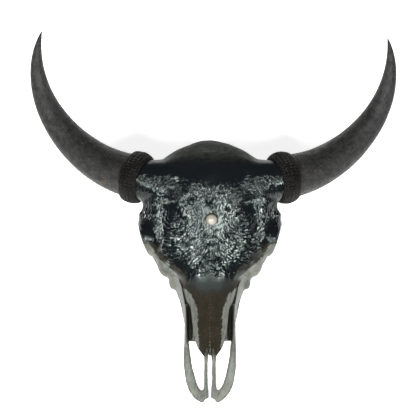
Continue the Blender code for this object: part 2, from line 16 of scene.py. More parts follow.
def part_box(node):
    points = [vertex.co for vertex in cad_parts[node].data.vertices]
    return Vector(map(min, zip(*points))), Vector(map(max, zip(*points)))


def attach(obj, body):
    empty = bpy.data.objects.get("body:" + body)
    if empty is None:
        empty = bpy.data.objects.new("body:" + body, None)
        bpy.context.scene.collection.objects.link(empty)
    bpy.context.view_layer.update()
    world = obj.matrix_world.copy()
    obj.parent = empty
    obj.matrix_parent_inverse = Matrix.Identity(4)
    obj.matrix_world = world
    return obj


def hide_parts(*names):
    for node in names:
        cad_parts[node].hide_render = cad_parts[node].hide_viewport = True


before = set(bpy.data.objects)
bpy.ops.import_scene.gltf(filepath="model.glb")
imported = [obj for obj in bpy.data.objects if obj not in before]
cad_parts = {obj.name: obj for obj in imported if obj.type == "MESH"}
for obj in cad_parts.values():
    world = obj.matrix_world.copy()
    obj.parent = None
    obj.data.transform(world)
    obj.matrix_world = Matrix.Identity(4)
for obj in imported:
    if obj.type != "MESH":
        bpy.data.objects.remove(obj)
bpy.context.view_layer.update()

MM = 0.001
GAP = 0.3  # between pieces that touch, in millimetres
NASAL_TIP = -254  # y of the front of the nasal bones on the skull's own plan
WIDE, LONG, LOW, HIGH = 300, 500, -60, 400  # x, y and z past the skull on every side
SIDES = (("left", -1), ("right", 1))
HORN_ROLLS = {"left": 4.6, "right": 0.8}  # degrees by which each horn is turned up the face
TRUNK_SIDES = 56
LIMB_STEPS = 40
LIMB_SIDES = 28
BALL_SIDES = (56, 36)
ROD_SIDES = 72
STRAND_SHARPNESS = 6.5
STRAND_FINE = 0.35  # the share of fine unevenness in the strands' relief
SHARP_ANGLE = 52  # edges that turn more than this stay crisp

log = logging.getLogger("bison_skull")

Row = tuple[float, ...]
Ball = tuple[Row, Row, Row]


class Slot(Enum):
    """The material slots of the record."""

    LACQUERED_BONE = "lacquered_bone"
    BARE_BONE = "bare_bone"
    HORN = "horn"
    CORD = "cord"
    PEARL = "pearl"
    BRONZE = "bronze"


# Mesh tools. Lengths are in millimetres on the skull's own plan: nose towards -Y, midline at x = 0.


def read_smoothly(rows: Sequence[Row], count: int) -> np.ndarray:
    """Reads a table of stations at even steps, along a smooth curve through its rows.

    Args:
        rows: the stations.
        count: how many steps to read.

    Returns:
        One row of values for each step.
    """
    table = np.array(rows, float)
    slopes = np.gradient(table, axis=0)
    at = np.linspace(0, len(table) - 1, count)
    row = np.minimum(at.astype(int), len(table) - 2)
    t = (at - row)[:, None]
    start = (2 * t**3 - 3 * t**2 + 1) * table[row] + (t**3 - 2 * t**2 + t) * slopes[row]
    end = (3 * t**2 - 2 * t**3) * table[row + 1] + (t**3 - t**2) * slopes[row + 1]
    return start + end


def add_skin(mesh: bmesh.types.BMesh, loops: list[list[bmesh.types.BMVert]], ring: bool) -> None:
    """Joins loops of vertices by quads.

    Args:
        mesh: the mesh that holds the vertices.
        loops: closed loops with the same number of vertices.
        ring: True joins the last loop to the first, and False closes both ends with flat faces.
    """
    faces = []
    pairs = list(zip(loops, loops[1:])) + ([(loops[-1], loops[0])] if ring else [])
    for near, far in pairs:
        for i in range(len(near)):
            j = (i + 1) % len(near)
            faces.append(mesh.faces.new((near[i], near[j], far[j], far[i])))
    if not ring:
        faces.append(mesh.faces.new(loops[0][::-1]))
        faces.append(mesh.faces.new(loops[-1]))
    bmesh.ops.recalc_face_normals(mesh, faces=faces)


def add_loft(mesh: bmesh.types.BMesh, rings: Sequence[Sequence[Row]], ring: bool = False) -> None:
    """Adds a closed solid through rings of points.

    Args:
        mesh: the mesh to add to.
        rings: the sections, in order.
        ring: True closes the solid on itself instead of at its ends.
    """
    loops = [[mesh.verts.new(Vector(p) * MM) for p in points] for points in rings]
    add_skin(mesh, loops, ring)


def turns(count: int) -> list[float]:
    """Returns the angles of even steps round a circle."""
    return [2 * math.pi * i / count for i in range(count)]


def rounded(angle: float, squareness: float) -> tuple[float, float]:
    """Returns a point of a unit superellipse at an angle."""
    c, s = math.cos(angle), math.sin(angle)
    return (
        math.copysign(abs(c) ** (2 / squareness), c),
        math.copysign(abs(s) ** (2 / squareness), s),
    )


def add_vault(
    mesh: bmesh.types.BMesh,
    rows: Sequence[Row],
    count: int,
    sides: int,
    bend: float = 2,
    grow: float = 0.0,
    squareness: float = 2.6,
) -> None:
    """Adds a curved slab whose sections fall away to both edges.

    Args:
        mesh: the mesh to add to.
        rows: y, height of the crest, half width, fall at the edges and thickness.
        count: sections along the slab.
        sides: points round each section.
        bend: how suddenly the edges fall away.
        grow: how much larger the slab is all round.
        squareness: 2 for oval sections, more for square ones.
    """
    rings = []
    for y, crest, half, fall, thick in read_smoothly(rows, count):
        ring = []
        for angle in turns(sides):
            across, up = rounded(angle, squareness)
            x = across * (half + grow)
            z = crest - thick / 2 + up * (thick / 2 + grow) - fall * abs(x / half) ** bend
            ring.append((x, y, z))
        rings.append(ring)
    add_loft(mesh, rings)


def add_trunk(mesh: bmesh.types.BMesh, rows: Sequence[Row], count: int, squareness: float) -> None:
    """Adds a solid whose sections are wider or narrower at the top than at the underside.

    Args:
        mesh: the mesh to add to.
        rows: y, top, underside, half width at the top and at the underside.
        count: sections along the solid.
        squareness: 2 for oval sections, more for square ones.
    """
    rings = []
    for y, top, low, wide_top, wide_low in read_smoothly(rows, count):
        ring = []
        for angle in turns(TRUNK_SIDES):
            across, up = rounded(angle, squareness)
            half = wide_low + (wide_top - wide_low) * (up + 1) / 2
            ring.append((across * half, y, (top + low) / 2 + up * (top - low) / 2))
        rings.append(ring)
    add_loft(mesh, rings)


def add_limb(mesh: bmesh.types.BMesh, rows: Sequence[Row], upright: Row = (0, 0, 1)) -> None:
    """Adds a tapering limb of oval section along a smooth path.

    Args:
        mesh: the mesh to add to.
        rows: x, y, z, half width across and half height.
        upright: the direction that the half height follows.
    """
    table = read_smoothly(rows, LIMB_STEPS)
    path = table[:, :3]
    along = np.gradient(path, axis=0)
    rings = []
    for point, tangent, (across, up) in zip(path, along, table[:, 3:]):
        forward = Vector(tangent).normalized()
        side = forward.cross(Vector(upright)).normalized()
        rise = side.cross(forward)
        ring = []
        for angle in turns(LIMB_SIDES):
            offset = side * across * math.cos(angle) + rise * up * math.sin(angle)
            ring.append(Vector(point) + offset)
        rings.append(ring)
    add_loft(mesh, rings)


def add_ball(mesh: bmesh.types.BMesh, ball: Ball) -> None:
    """Adds an ellipsoid, given as its centre, its radii, and its turn in degrees."""
    centre, radii, turn = ball
    angles = [math.radians(a) for a in turn]
    rotation = (
        Matrix.Rotation(angles[2], 4, "Z")
        @ Matrix.Rotation(angles[1], 4, "Y")
        @ Matrix.Rotation(angles[0], 4, "X")
    )
    scale = Matrix.Diagonal((*(Vector(radii) * MM), 1))
    place = Matrix.Translation(Vector(centre) * MM) @ rotation @ scale
    around, down = BALL_SIDES
    bmesh.ops.create_uvsphere(mesh, u_segments=around, v_segments=down, radius=1, matrix=place)


def add_rod(mesh: bmesh.types.BMesh, start: Vector, end: Vector, radius: float) -> None:
    """Adds a straight round rod between two points."""
    span = Vector(end) - Vector(start)
    turn = span.to_track_quat("Z", "Y").to_matrix().to_4x4()
    bmesh.ops.create_cone(
        mesh,
        cap_ends=True,
        segments=ROD_SIDES,
        radius1=radius * MM,
        radius2=radius * MM,
        depth=span.length * MM,
        matrix=Matrix.Translation((Vector(start) + Vector(end)) / 2 * MM) @ turn,
    )


def mirrored(build: Callable[[bmesh.types.BMesh], None]) -> bmesh.types.BMesh:
    """Runs build on an empty mesh and adds its mirror image across X.

    Args:
        build: adds one side's shapes to a mesh.

    Returns:
        The mesh with both sides.
    """
    half = bmesh.new()
    build(half)
    twin = half.copy()
    bmesh.ops.scale(twin, vec=(-1, 1, 1), verts=twin.verts)
    bmesh.ops.reverse_faces(twin, faces=twin.faces)
    both = bpy.data.meshes.new("both_sides")
    twin.to_mesh(both)
    half.from_mesh(both)
    bpy.data.meshes.remove(both)
    twin.free()
    return half


def new_object(name: str, mesh: bmesh.types.BMesh) -> bpy.types.Object:
    """Puts a mesh into the scene as an object."""
    data = bpy.data.meshes.new(name)
    mesh.to_mesh(data)
    mesh.free()
    made = bpy.data.objects.new(name, data)
    bpy.context.scene.collection.objects.link(made)
    return made


def settle(obj: bpy.types.Object) -> bpy.types.Object:
    """Applies an object's modifiers."""
    bpy.context.view_layer.update()
    graph = bpy.context.evaluated_depsgraph_get()
    made = bpy.data.meshes.new_from_object(obj.evaluated_get(graph))
    obj.modifiers.clear()
    old = obj.data
    obj.data = made
    bpy.data.meshes.remove(old)
    return obj


def remeshed(obj: bpy.types.Object, voxel: float) -> bpy.types.Object:
    """Fuses overlapping solids into one surface with faces of the size of a voxel."""
    fuse = obj.modifiers.new("Fuse", "REMESH")
    fuse.mode = "VOXEL"
    fuse.voxel_size = voxel * MM
    return settle(obj)


def smoothed(obj: bpy.types.Object, steps: int, group: str = "") -> bpy.types.Object:
    """Smooths an object step by step, or only as far as a vertex group says."""
    smooth = obj.modifiers.new("Smooth", "SMOOTH")
    smooth.factor = 0.5
    smooth.iterations = steps
    smooth.vertex_group = group
    return settle(obj)


def weigh(obj: bpy.types.Object, name: str, weights: np.ndarray, least: float = -1.0) -> None:
    """Makes a vertex group of the vertices whose weight is over a least one."""
    group = obj.vertex_groups.new(name=name)
    for i in np.nonzero(weights > least)[0].tolist():
        group.add([i], float(weights[i]), "REPLACE")


def cut_with(obj: bpy.types.Object, cutter: bpy.types.Object) -> bpy.types.Object:
    """Takes a cutter away from an object, and removes the cutter."""
    cut = obj.modifiers.new("Cut", "BOOLEAN")
    cut.operation = "DIFFERENCE"
    cut.solver = "MANIFOLD"
    cut.object = cutter
    settle(obj)
    bpy.data.objects.remove(cutter)
    return obj


def block(name: str, low: Row, high: Row) -> bpy.types.Object:
    """Makes a box between two corners."""
    mesh = bmesh.new()
    size = Vector(high) - Vector(low)
    middle = (Vector(high) + Vector(low)) / 2
    place = Matrix.Translation(middle * MM) @ Matrix.Diagonal((*(size * MM), 1))
    bmesh.ops.create_cube(mesh, size=1, matrix=place)
    return new_object(name, mesh)


def loose_pieces(obj: bpy.types.Object, wanted: int) -> list[bpy.types.Object]:
    """Splits an object into its closed surfaces and removes the scraps.

    Args:
        obj: the object to split.
        wanted: how many of the largest pieces to keep.

    Returns:
        The pieces, largest first.
    """
    for other in bpy.context.selected_objects:
        other.select_set(False)
    obj.select_set(True)
    bpy.context.view_layer.objects.active = obj
    bpy.ops.mesh.separate(type="LOOSE")
    pieces = sorted(bpy.context.selected_objects, key=lambda o: -math.prod(o.dimensions))
    for scrap in pieces[wanted:]:
        bpy.data.objects.remove(scrap)
    return pieces[:wanted]


def halves(
    obj: bpy.types.Object, sheet: bpy.types.Object, axis: int, names: Sequence[str]
) -> list[bpy.types.Object]:
    """Parts an object along a thin sheet.

    Args:
        obj: the object to part.
        sheet: the sheet, which is removed.
        axis: the axis that the halves lie along.
        names: their names, lower coordinate first.

    Returns:
        The two halves, in that order.
    """
    cut_with(obj, sheet)
    pair = loose_pieces(obj, 2)
    bpy.context.view_layer.update()
    pair.sort(key=lambda o: sum(corner[axis] for corner in o.bound_box))
    for piece, name in zip(pair, names):
        piece.name = name
    return pair


def midline_sheet(width: float = GAP) -> bpy.types.Object:
    """Makes a thin sheet of a given width along the middle of the skull."""
    return block("midline", (-width / 2, -LONG, LOW), (width / 2, LONG, HIGH))


def places_of(obj: bpy.types.Object) -> np.ndarray:
    """Returns an object's vertices in millimetres."""
    places = np.empty(len(obj.data.vertices) * 3, np.float32)
    obj.data.vertices.foreach_get("co", places)
    return places.reshape(-1, 3).astype(float) / MM


def normals_of(obj: bpy.types.Object) -> np.ndarray:
    """Returns the normals at an object's vertices."""
    normals = np.empty(len(obj.data.vertices) * 3, np.float32)
    obj.data.vertices.foreach_get("normal", normals)
    return normals.reshape(-1, 3).astype(float)


def move_out(obj: bpy.types.Object, lift: np.ndarray) -> None:
    """Moves each vertex along its normal by its own distance in millimetres."""
    moved = (places_of(obj) + normals_of(obj) * lift[:, None]) * MM
    obj.data.vertices.foreach_set("co", moved.astype(np.float32).ravel())
    obj.data.update()


def noise_at(points: np.ndarray) -> np.ndarray:
    """Returns smooth noise from -1 to 1 at each point."""
    return np.array([noise.noise(Vector(p)) for p in points.tolist()])


def ridges_at(points: np.ndarray) -> np.ndarray:
    """Returns noise with sharp crests, from 0 to 1, at each point."""
    return 1 - np.minimum(1, np.abs(noise_at(points)) * 2.4)


def ease(values: np.ndarray, low: float, high: float) -> np.ndarray:
    """Returns a smooth step of the values from 0 at low to 1 at high."""
    t = np.clip((values - low) / (high - low), 0, 1)
    return t * t * (3 - 2 * t)


def keep_field(obj: bpy.types.Object, name: str, values: np.ndarray) -> None:
    """Keeps a number, or a triple of numbers, for each vertex, for the materials to read."""
    kind, key = ("FLOAT_VECTOR", "vector") if values.ndim == 2 else ("FLOAT", "value")
    attribute = obj.data.attributes.new(name, kind, "POINT")
    attribute.data.foreach_set(key, values.astype(np.float32).ravel())


def plan_to_row() -> Matrix:
    """Returns the move from the skull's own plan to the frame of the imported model."""
    low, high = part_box("nasal_left")
    middle = (high.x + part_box("nasal_right")[0].x) / 2
    return Matrix.Translation((middle, low.y - NASAL_TIP * MM, 0))


def finish_piece(
    obj: bpy.types.Object, material: bpy.types.Material, nodes: Sequence[str]
) -> bpy.types.Object:
    """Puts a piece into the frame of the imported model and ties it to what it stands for.

    Args:
        obj: the piece, built on the skull's own plan.
        material: its finish.
        nodes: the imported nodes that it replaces.

    Returns:
        The piece.
    """
    obj.data.transform(plan_to_row())
    obj.data.materials.clear()
    obj.data.materials.append(material)
    obj.data.shade_smooth()
    obj.data.set_sharp_from_angle(angle=math.radians(SHARP_ANGLE))
    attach(obj, "root")
    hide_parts(*nodes)
    obj.data.calc_loop_triangles()
    log.info("%s: %d triangles", obj.name, len(obj.data.loop_triangles))
    return obj


# Node tools


class Bench:
    """A node tree that is being wired up."""

    def __init__(self, tree: bpy.types.NodeTree) -> None:
        """Takes the tree to work on."""
        self.tree = tree

    def add(self, kind: str, values: dict | None = None, **settings: object) -> bpy.types.Node:
        """Adds a node.

        Args:
            kind: the node's type name.
            values: for each input, by name or number, a socket to link or a value to set.
            settings: the node's own properties.

        Returns:
            The node.
        """
        node = self.tree.nodes.new(kind)
        for name, value in settings.items():
            setattr(node, name, value)
        self.wire(node, values or {})
        return node

    def wire(self, node: bpy.types.Node, values: dict) -> None:
        """Feeds a node's inputs, by name or number, each with a socket to link or a value."""
        for name, value in values.items():
            if isinstance(value, bpy.types.NodeSocket):
                self.tree.links.new(value, node.inputs[name])
            else:
                node.inputs[name].default_value = value

    def maths(self, operation: str, *values: object) -> bpy.types.NodeSocket:
        """Adds a Math node on the given values, and returns its output."""
        node = self.add("ShaderNodeMath", dict(enumerate(values)), operation=operation)
        return node.outputs[0]

    def ramp(
        self, value: object, low: float, high: float, out_low: float = 0.0, out_high: float = 1.0
    ) -> bpy.types.NodeSocket:
        """Adds a smooth, clamped step from low to high, and returns its output."""
        values = {0: value, 1: low, 2: high, 3: out_low, 4: out_high}
        node = self.add("ShaderNodeMapRange", values, interpolation_type="SMOOTHSTEP")
        return node.outputs[0]

    def flipped(self, value: object) -> bpy.types.NodeSocket:
        """Adds 1 minus a value, and returns it."""
        return self.maths("SUBTRACT", 1.0, value)

    def plus(self, first: object, second: object, share: float) -> bpy.types.NodeSocket:
        """Adds a value and a share of another value, and returns the sum."""
        return self.maths("ADD", first, self.maths("MULTIPLY", second, share))

    def mix(self, factor: object, first: object, second: object) -> bpy.types.NodeSocket:
        """Adds a mix of two colours, and returns its output."""
        node = self.add("ShaderNodeMix", {0: factor, 6: first, 7: second}, data_type="RGBA")
        return node.outputs[2]

    def dress(
        self,
        shader: bpy.types.Node,
        tone: object,
        rough: object,
        height: object,
        depth: float,
        strength: float = 1.0,
    ) -> None:
        """Feeds a shader its colour, its roughness and a bump.

        Args:
            shader: the shader to feed.
            tone: its colour.
            rough: its roughness.
            height: the height that the bump follows.
            depth: what a height of 1 stands for, in metres.
            strength: the bump's strength.
        """
        values = {"Height": height, "Strength": strength, "Distance": depth}
        bump = self.add("ShaderNodeBump", values).outputs[0]
        self.wire(shader, {"Base Color": tone, "Roughness": rough, "Normal": bump})

    def field(self, name: str, output: str = "Fac") -> bpy.types.NodeSocket:
        """Adds a node that reads what keep_field kept, and returns its output."""
        return self.add("ShaderNodeAttribute", attribute_name=name).outputs[output]

    def place(self, factor: float) -> bpy.types.NodeSocket:
        """Adds the point on the object, times a factor, and returns it."""
        where = self.add("ShaderNodeTexCoord").outputs["Object"]
        return self.scaled(where, (factor, factor, factor))

    def scaled(self, vector: bpy.types.NodeSocket, factors: Row) -> bpy.types.NodeSocket:
        """Adds a vector times factors along its axes, and returns it."""
        node = self.add("ShaderNodeVectorMath", {0: vector, 1: factors}, operation="MULTIPLY")
        return node.outputs[0]

    def cloud(
        self, vector: bpy.types.NodeSocket, scale: float, detail: float, rough: float = 0.55
    ) -> bpy.types.NodeSocket:
        """Adds fractal noise, and returns its value."""
        values = {"Vector": vector, "Scale": scale, "Detail": detail, "Roughness": rough}
        return self.add("ShaderNodeTexNoise", values).outputs["Fac"]


def new_group(
    name: str, takes: dict[str, tuple[str, object]], gives: dict[str, str]
) -> tuple[bpy.types.NodeTree, Bench, bpy.types.Node, bpy.types.Node]:
    """Starts a shader node group.

    Args:
        name: the group's name.
        takes: for each input its kind and its default value.
        gives: for each output its kind.

    Returns:
        The tree, a bench on it, and its input and output nodes.
    """
    kinds = {"value": "NodeSocketFloat", "vector": "NodeSocketVector", "colour": "NodeSocketColor"}
    tree = bpy.data.node_groups.new(name, "ShaderNodeTree")
    for label, (kind, default) in takes.items():
        socket = tree.interface.new_socket(label, in_out="INPUT", socket_type=kinds[kind])
        socket.default_value = default
    for label, kind in gives.items():
        tree.interface.new_socket(label, in_out="OUTPUT", socket_type=kinds[kind])
    bench = Bench(tree)
    return tree, bench, bench.add("NodeGroupInput"), bench.add("NodeGroupOutput")


def strand_group() -> bpy.types.NodeTree:
    """Makes the relief of short strands that lie along the level lines of a field.

    Returns:
        The node group. It takes the field in millimetres, the strands' width and length, and gives
        their height.
    """
    takes = {"Lie": ("value", 0.0), "Width": ("value", 4.0), "Length": ("value", 15.0)}
    tree, bench, given, out = new_group("strands", takes, {"Height": "value"})
    apart = bench.add("ShaderNodeSeparateXYZ", {0: bench.place(1 / MM)})
    length = given.outputs["Length"]
    across = bench.maths("DIVIDE", given.outputs["Lie"], given.outputs["Width"])
    across = bench.maths("ADD", across, bench.maths("DIVIDE", apart.outputs[2], length))
    along = [bench.maths("DIVIDE", apart.outputs[axis], length) for axis in (0, 1)]
    vector = bench.add("ShaderNodeCombineXYZ", {0: across, 1: along[0], 2: along[1]}).outputs[0]
    coarse = bench.cloud(vector, 1.0, 1.5, 0.5)
    crest = bench.maths("ABSOLUTE", bench.maths("SUBTRACT", coarse, 0.5))
    crest = bench.flipped(bench.maths("MULTIPLY", crest, STRAND_SHARPNESS))
    crest = bench.maths("MAXIMUM", crest, 0.0)
    fine = bench.cloud(bench.scaled(vector, (2.3, 2.3, 2.3)), 1.0, 2.0, 0.6)
    bench.wire(out, {"Height": bench.plus(crest, fine, STRAND_FINE)})
    return tree


def bone_group() -> bpy.types.NodeTree:
    """Makes the colour, pores and streaks of dry grey bone, with painted shade laid into its dips.

    Returns:
        The node group. It takes three tones and a mask of painted shade, and gives the colour, a
        height and the broad clouds behind them.
    """
    takes = {
        "Pale": ("colour", (0.4, 0.39, 0.35, 1)),
        "Grey": ("colour", (0.18, 0.18, 0.16, 1)),
        "Stain_and_Shade": ("colour", (0.10, 0.075, 0.045, 1)),
        "Painted_Shade": ("value", 0.0),
    }
    gives = {"Colour": "colour", "Height": "value", "Cloud": "value"}
    tree, bench, given, out = new_group("dry_bone", takes, gives)
    where = bench.place(1 / MM)
    wide = bench.cloud(where, 0.018, 4.0, 0.6)
    streaks = bench.cloud(bench.scaled(where, (0.42, 0.045, 0.42)), 1.0, 4.0, 0.6)
    blend = bench.plus(bench.maths("MULTIPLY", wide, 0.6), streaks, 0.4)
    blend = bench.ramp(blend, 0.38, 0.62)
    tone = bench.mix(blend, given.outputs["Grey"], given.outputs["Pale"])
    stain_and_shade = bench.ramp(bench.cloud(where, 0.035, 5.0, 0.7), 0.56, 0.72)
    # Painted shade: the colour of the stains also darkens the dips of the surface and the inside of
    # the nose.
    stain_and_shade = bench.maths("MAXIMUM", stain_and_shade, given.outputs["Painted_Shade"])
    tone = bench.mix(bench.maths("MULTIPLY", stain_and_shade, 0.75), tone, given.outputs["Stain_and_Shade"])
    pores = bench.add("ShaderNodeTexVoronoi", {"Vector": where, "Scale": 0.55}, feature="F1")
    pits = bench.ramp(pores.outputs["Distance"], 0.06, 0.22)
    seldom = bench.ramp(bench.cloud(where, 0.06, 2.0), 0.50, 0.62)
    pits = bench.maths("MAXIMUM", pits, bench.flipped(seldom))
    filled = bench.maths("MULTIPLY", bench.flipped(pits), 0.7)
    tone = bench.mix(filled, tone, given.outputs["Stain_and_Shade"])
    height = bench.plus(pits, streaks, 0.8)
    bench.wire(out, {"Colour": tone, "Height": height, "Cloud": wide})
    return tree


def new_material(name: str) -> tuple[bpy.types.Material, Bench, bpy.types.Node]:
    """Starts a material and returns it with a bench on its nodes and its shader."""
    material = bpy.data.materials.new(name)
    material.use_nodes = True
    bench = Bench(material.node_tree)
    return material, bench, material.node_tree.nodes["Principled BSDF"]


@dataclass(frozen=True)
class SkullFinish:
    """Dry grey bone with a black lacquered hide on the brow, brown where the lacquer thins out."""

    strands: bpy.types.NodeTree
    dry_bone: bpy.types.NodeTree
    black: Row = (0.0035, 0.0046, 0.0056, 1)
    brown: Row = (0.0088, 0.0053, 0.0015, 1)
    amber: Row = (0.20, 0.125, 0.045, 1)
    crown_grey: Row = (0.040, 0.037, 0.029, 1)
    pale: Row = (0.140, 0.142, 0.124, 1)
    grey: Row = (0.060, 0.061, 0.051, 1)
    # the colour of the stains and pores, also laid on dips and inside the nose as painted shade
    stain_and_shade: Row = (0.018, 0.014, 0.009, 1)
    sheen: Row = (0.86, 1.0, 0.93, 1)
    strand_width: float = 3.7
    strand_length: float = 18.0
    ragged: float = 12.0  # how far the hide's edge wanders, in millimetres
    brown_edge: float = 26.0  # how far from its edge the hide is all black
    relief: float = 0.00068
    gloss: float = 0.42
    shine: Row = (0.10, 0.20)  # the roughness of the lacquer, from its least to its most
    edge_dullness: float = 0.26
    matt_dullness: float = 0.55

    def make(self, name: str) -> bpy.types.Material:
        """Builds the material.

        Args:
            name: the material's name.

        Returns:
            The material. It reads the fields that skull_fields keeps.
        """
        material, bench, shader = new_material(name)
        where = bench.place(1 / MM)
        edge = bench.maths("SUBTRACT", bench.cloud(where, 0.16, 4.0, 0.65), 0.5)
        inside = bench.plus(bench.field("dark"), edge, self.ragged)
        coated = bench.ramp(inside, -1.0, 1.5)
        full = bench.ramp(inside, 4.0, self.brown_edge)
        full = bench.maths("MULTIPLY", full, bench.flipped(bench.field("thin")))
        values = {"Pale": self.pale, "Grey": self.grey, "Stain_and_Shade": self.stain_and_shade}
        # Painted shade: dips and the nose passage are darkened with the colour of the stains.
        values["Painted_Shade"] = bench.field("painted_shade")
        bone = bench.add("ShaderNodeGroup", values, node_tree=self.dry_bone)
        values = {"Width": self.strand_width, "Length": self.strand_length}
        values["Lie"] = bench.field("lie")
        strands = bench.add("ShaderNodeGroup", values, node_tree=self.strands)
        coat = bench.mix(full, self.brown, self.black)
        specks = bench.ramp(bench.cloud(where, 0.62, 2.0, 0.6), 0.66, 0.72)
        seen = bench.maths("SUBTRACT", 0.55, bench.maths("MULTIPLY", full, 0.5))
        coat = bench.mix(bench.maths("MULTIPLY", specks, seen), coat, self.amber)
        # A paler brown-grey in streaks, growing towards the back of the crown.
        scratched = bench.cloud(bench.scaled(where, (0.10, 0.34, 0.2)), 1.0, 6.0, 0.72)
        crown_paling = bench.maths("MULTIPLY", bench.ramp(scratched, 0.36, 0.66), bench.field("crown"))
        coat = bench.mix(crown_paling, coat, self.crown_grey)
        colour = bench.mix(coated, bone.outputs["Colour"], coat)
        shine = bench.ramp(bench.cloud(where, 0.05, 3.0), 0.35, 0.65, *self.shine)
        worn = bench.plus(shine, bench.flipped(full), self.edge_dullness)
        worn = bench.plus(worn, bench.field("matt"), self.matt_dullness)
        dry = bench.ramp(bone.outputs["Cloud"], 0.3, 0.7, 0.42, 0.60)
        rough = bench.add("ShaderNodeMix", {0: coated, 2: dry, 3: worn}).outputs[0]
        hide = bench.maths("MULTIPLY", bench.field("hide"), coated)
        relief = bench.maths("MULTIPLY", strands.outputs["Height"], hide)
        plain = bench.ramp(coated, 0, 1, 0.16, 0.07)
        plain = bench.maths("MULTIPLY", bone.outputs["Height"], plain)
        height = bench.plus(bench.maths("ADD", relief, plain), crown_paling, 0.35)
        bench.dress(shader, colour, rough, height, self.relief)
        bench.wire(shader, {"Specular Tint": self.sheen, "Specular IOR Level": self.gloss})
        return material


@dataclass(frozen=True)
class HornFinish:
    """Matt dark grey horn with lengthwise scratches, paler mottling and a stained root."""

    dark: Row = (0.0035, 0.0037, 0.0032, 1)
    light: Row = (0.017, 0.018, 0.0165, 1)
    fleck: Row = (0.060, 0.063, 0.058, 1)
    tan: Row = (0.045, 0.033, 0.019, 1)
    relief: float = 0.0010
    gloss: float = 0.30

    def make(self, name: str) -> bpy.types.Material:
        """Builds the material, which reads the fields grain and root."""
        material, bench, shader = new_material(name)
        grain = bench.field("grain", "Vector")
        where = bench.place(1 / MM)
        fibres = bench.cloud(bench.scaled(grain, (0.8, 0.8, 0.05)), 1.0, 5.0, 0.62)
        scratches = bench.cloud(bench.scaled(grain, (0.75, 0.75, 0.09)), 1.0, 4.0, 0.7)
        mottle = bench.cloud(where, 0.075, 5.0, 0.65)
        wear = bench.plus(bench.maths("MULTIPLY", fibres, 0.45), mottle, 0.55)
        tone = bench.mix(bench.ramp(wear, 0.43, 0.57), self.dark, self.light)
        flecks = bench.ramp(scratches, 0.56, 0.66)
        tone = bench.mix(bench.maths("MULTIPLY", flecks, 0.8), tone, self.fleck)
        old = bench.ramp(bench.field("root"), 0.25, 1.0)
        patches = bench.ramp(bench.cloud(where, 0.045, 4.0, 0.7), 0.54, 0.66)
        stained = bench.maths("MULTIPLY", bench.maths("MULTIPLY", old, patches), 0.6)
        tone = bench.mix(stained, tone, self.tan)
        height = bench.plus(bench.plus(fibres, scratches, 0.5), mottle, 0.6)
        rough = bench.ramp(wear, 0.3, 0.7, 0.60, 0.40)
        bench.dress(shader, tone, rough, height, self.relief)
        bench.wire(shader, {"Specular IOR Level": self.gloss})
        return material


@dataclass(frozen=True)
class CordFinish:
    """Waxed black cord with fine fibres and brown where it is rubbed."""

    black: Row = (0.0030, 0.0027, 0.0021, 1)
    rubbed: Row = (0.012, 0.010, 0.006, 1)
    relief: float = 0.0004
    gloss: float = 0.16

    def make(self, name: str) -> bpy.types.Material:
        """Builds the material."""
        material, bench, shader = new_material(name)
        where = bench.place(1 / MM)
        fibres = bench.cloud(where, 1.8, 4.0, 0.7)
        rubbed = bench.ramp(bench.cloud(where, 0.09, 4.0, 0.7), 0.52, 0.70)
        tone = bench.mix(bench.maths("MULTIPLY", rubbed, 0.8), self.black, self.rubbed)
        rough = bench.ramp(fibres, 0.3, 0.7, 0.32, 0.52)
        bench.dress(shader, tone, rough, fibres, self.relief)
        bench.wire(shader, {"Specular IOR Level": self.gloss})
        return material


@dataclass(frozen=True)
class PearlFinish:
    """A cream pearl with clouded nacre."""

    cream: Row = (0.40, 0.38, 0.33, 1)
    shade: Row = (0.29, 0.27, 0.215, 1)
    relief: float = 0.0001
    coat: float = 0.8
    coat_roughness: float = 0.08

    def make(self, name: str) -> bpy.types.Material:
        """Builds the material."""
        material, bench, shader = new_material(name)
        where = bench.place(1 / MM)
        cloud = bench.cloud(where, 0.11, 3.0)
        tone = bench.mix(bench.ramp(cloud, 0.40, 0.62), self.cream, self.shade)
        rough = bench.ramp(cloud, 0.3, 0.7, 0.22, 0.32)
        bench.dress(shader, tone, rough, bench.cloud(where, 0.9, 2.0), self.relief, 0.4)
        bench.wire(shader, {"Coat Weight": self.coat, "Coat Roughness": self.coat_roughness})
        return material


@dataclass(frozen=True)
class BronzeFinish:
    """Dark bronze, brighter where it is handled."""

    dark: Row = (0.07, 0.052, 0.036, 1)
    bright: Row = (0.22, 0.16, 0.10, 1)
    relief: float = 0.0002

    def make(self, name: str) -> bpy.types.Material:
        """Builds the material."""
        material, bench, shader = new_material(name)
        cloud = bench.cloud(bench.place(1 / MM), 0.5, 5.0, 0.65)
        tone = bench.mix(bench.ramp(cloud, 0.42, 0.62), self.dark, self.bright)
        rough = bench.ramp(cloud, 0.3, 0.7, 0.46, 0.28)
        bench.dress(shader, tone, rough, cloud, self.relief, 0.5)
        bench.wire(shader, {"Metallic": 1.0})
        return material


# The object


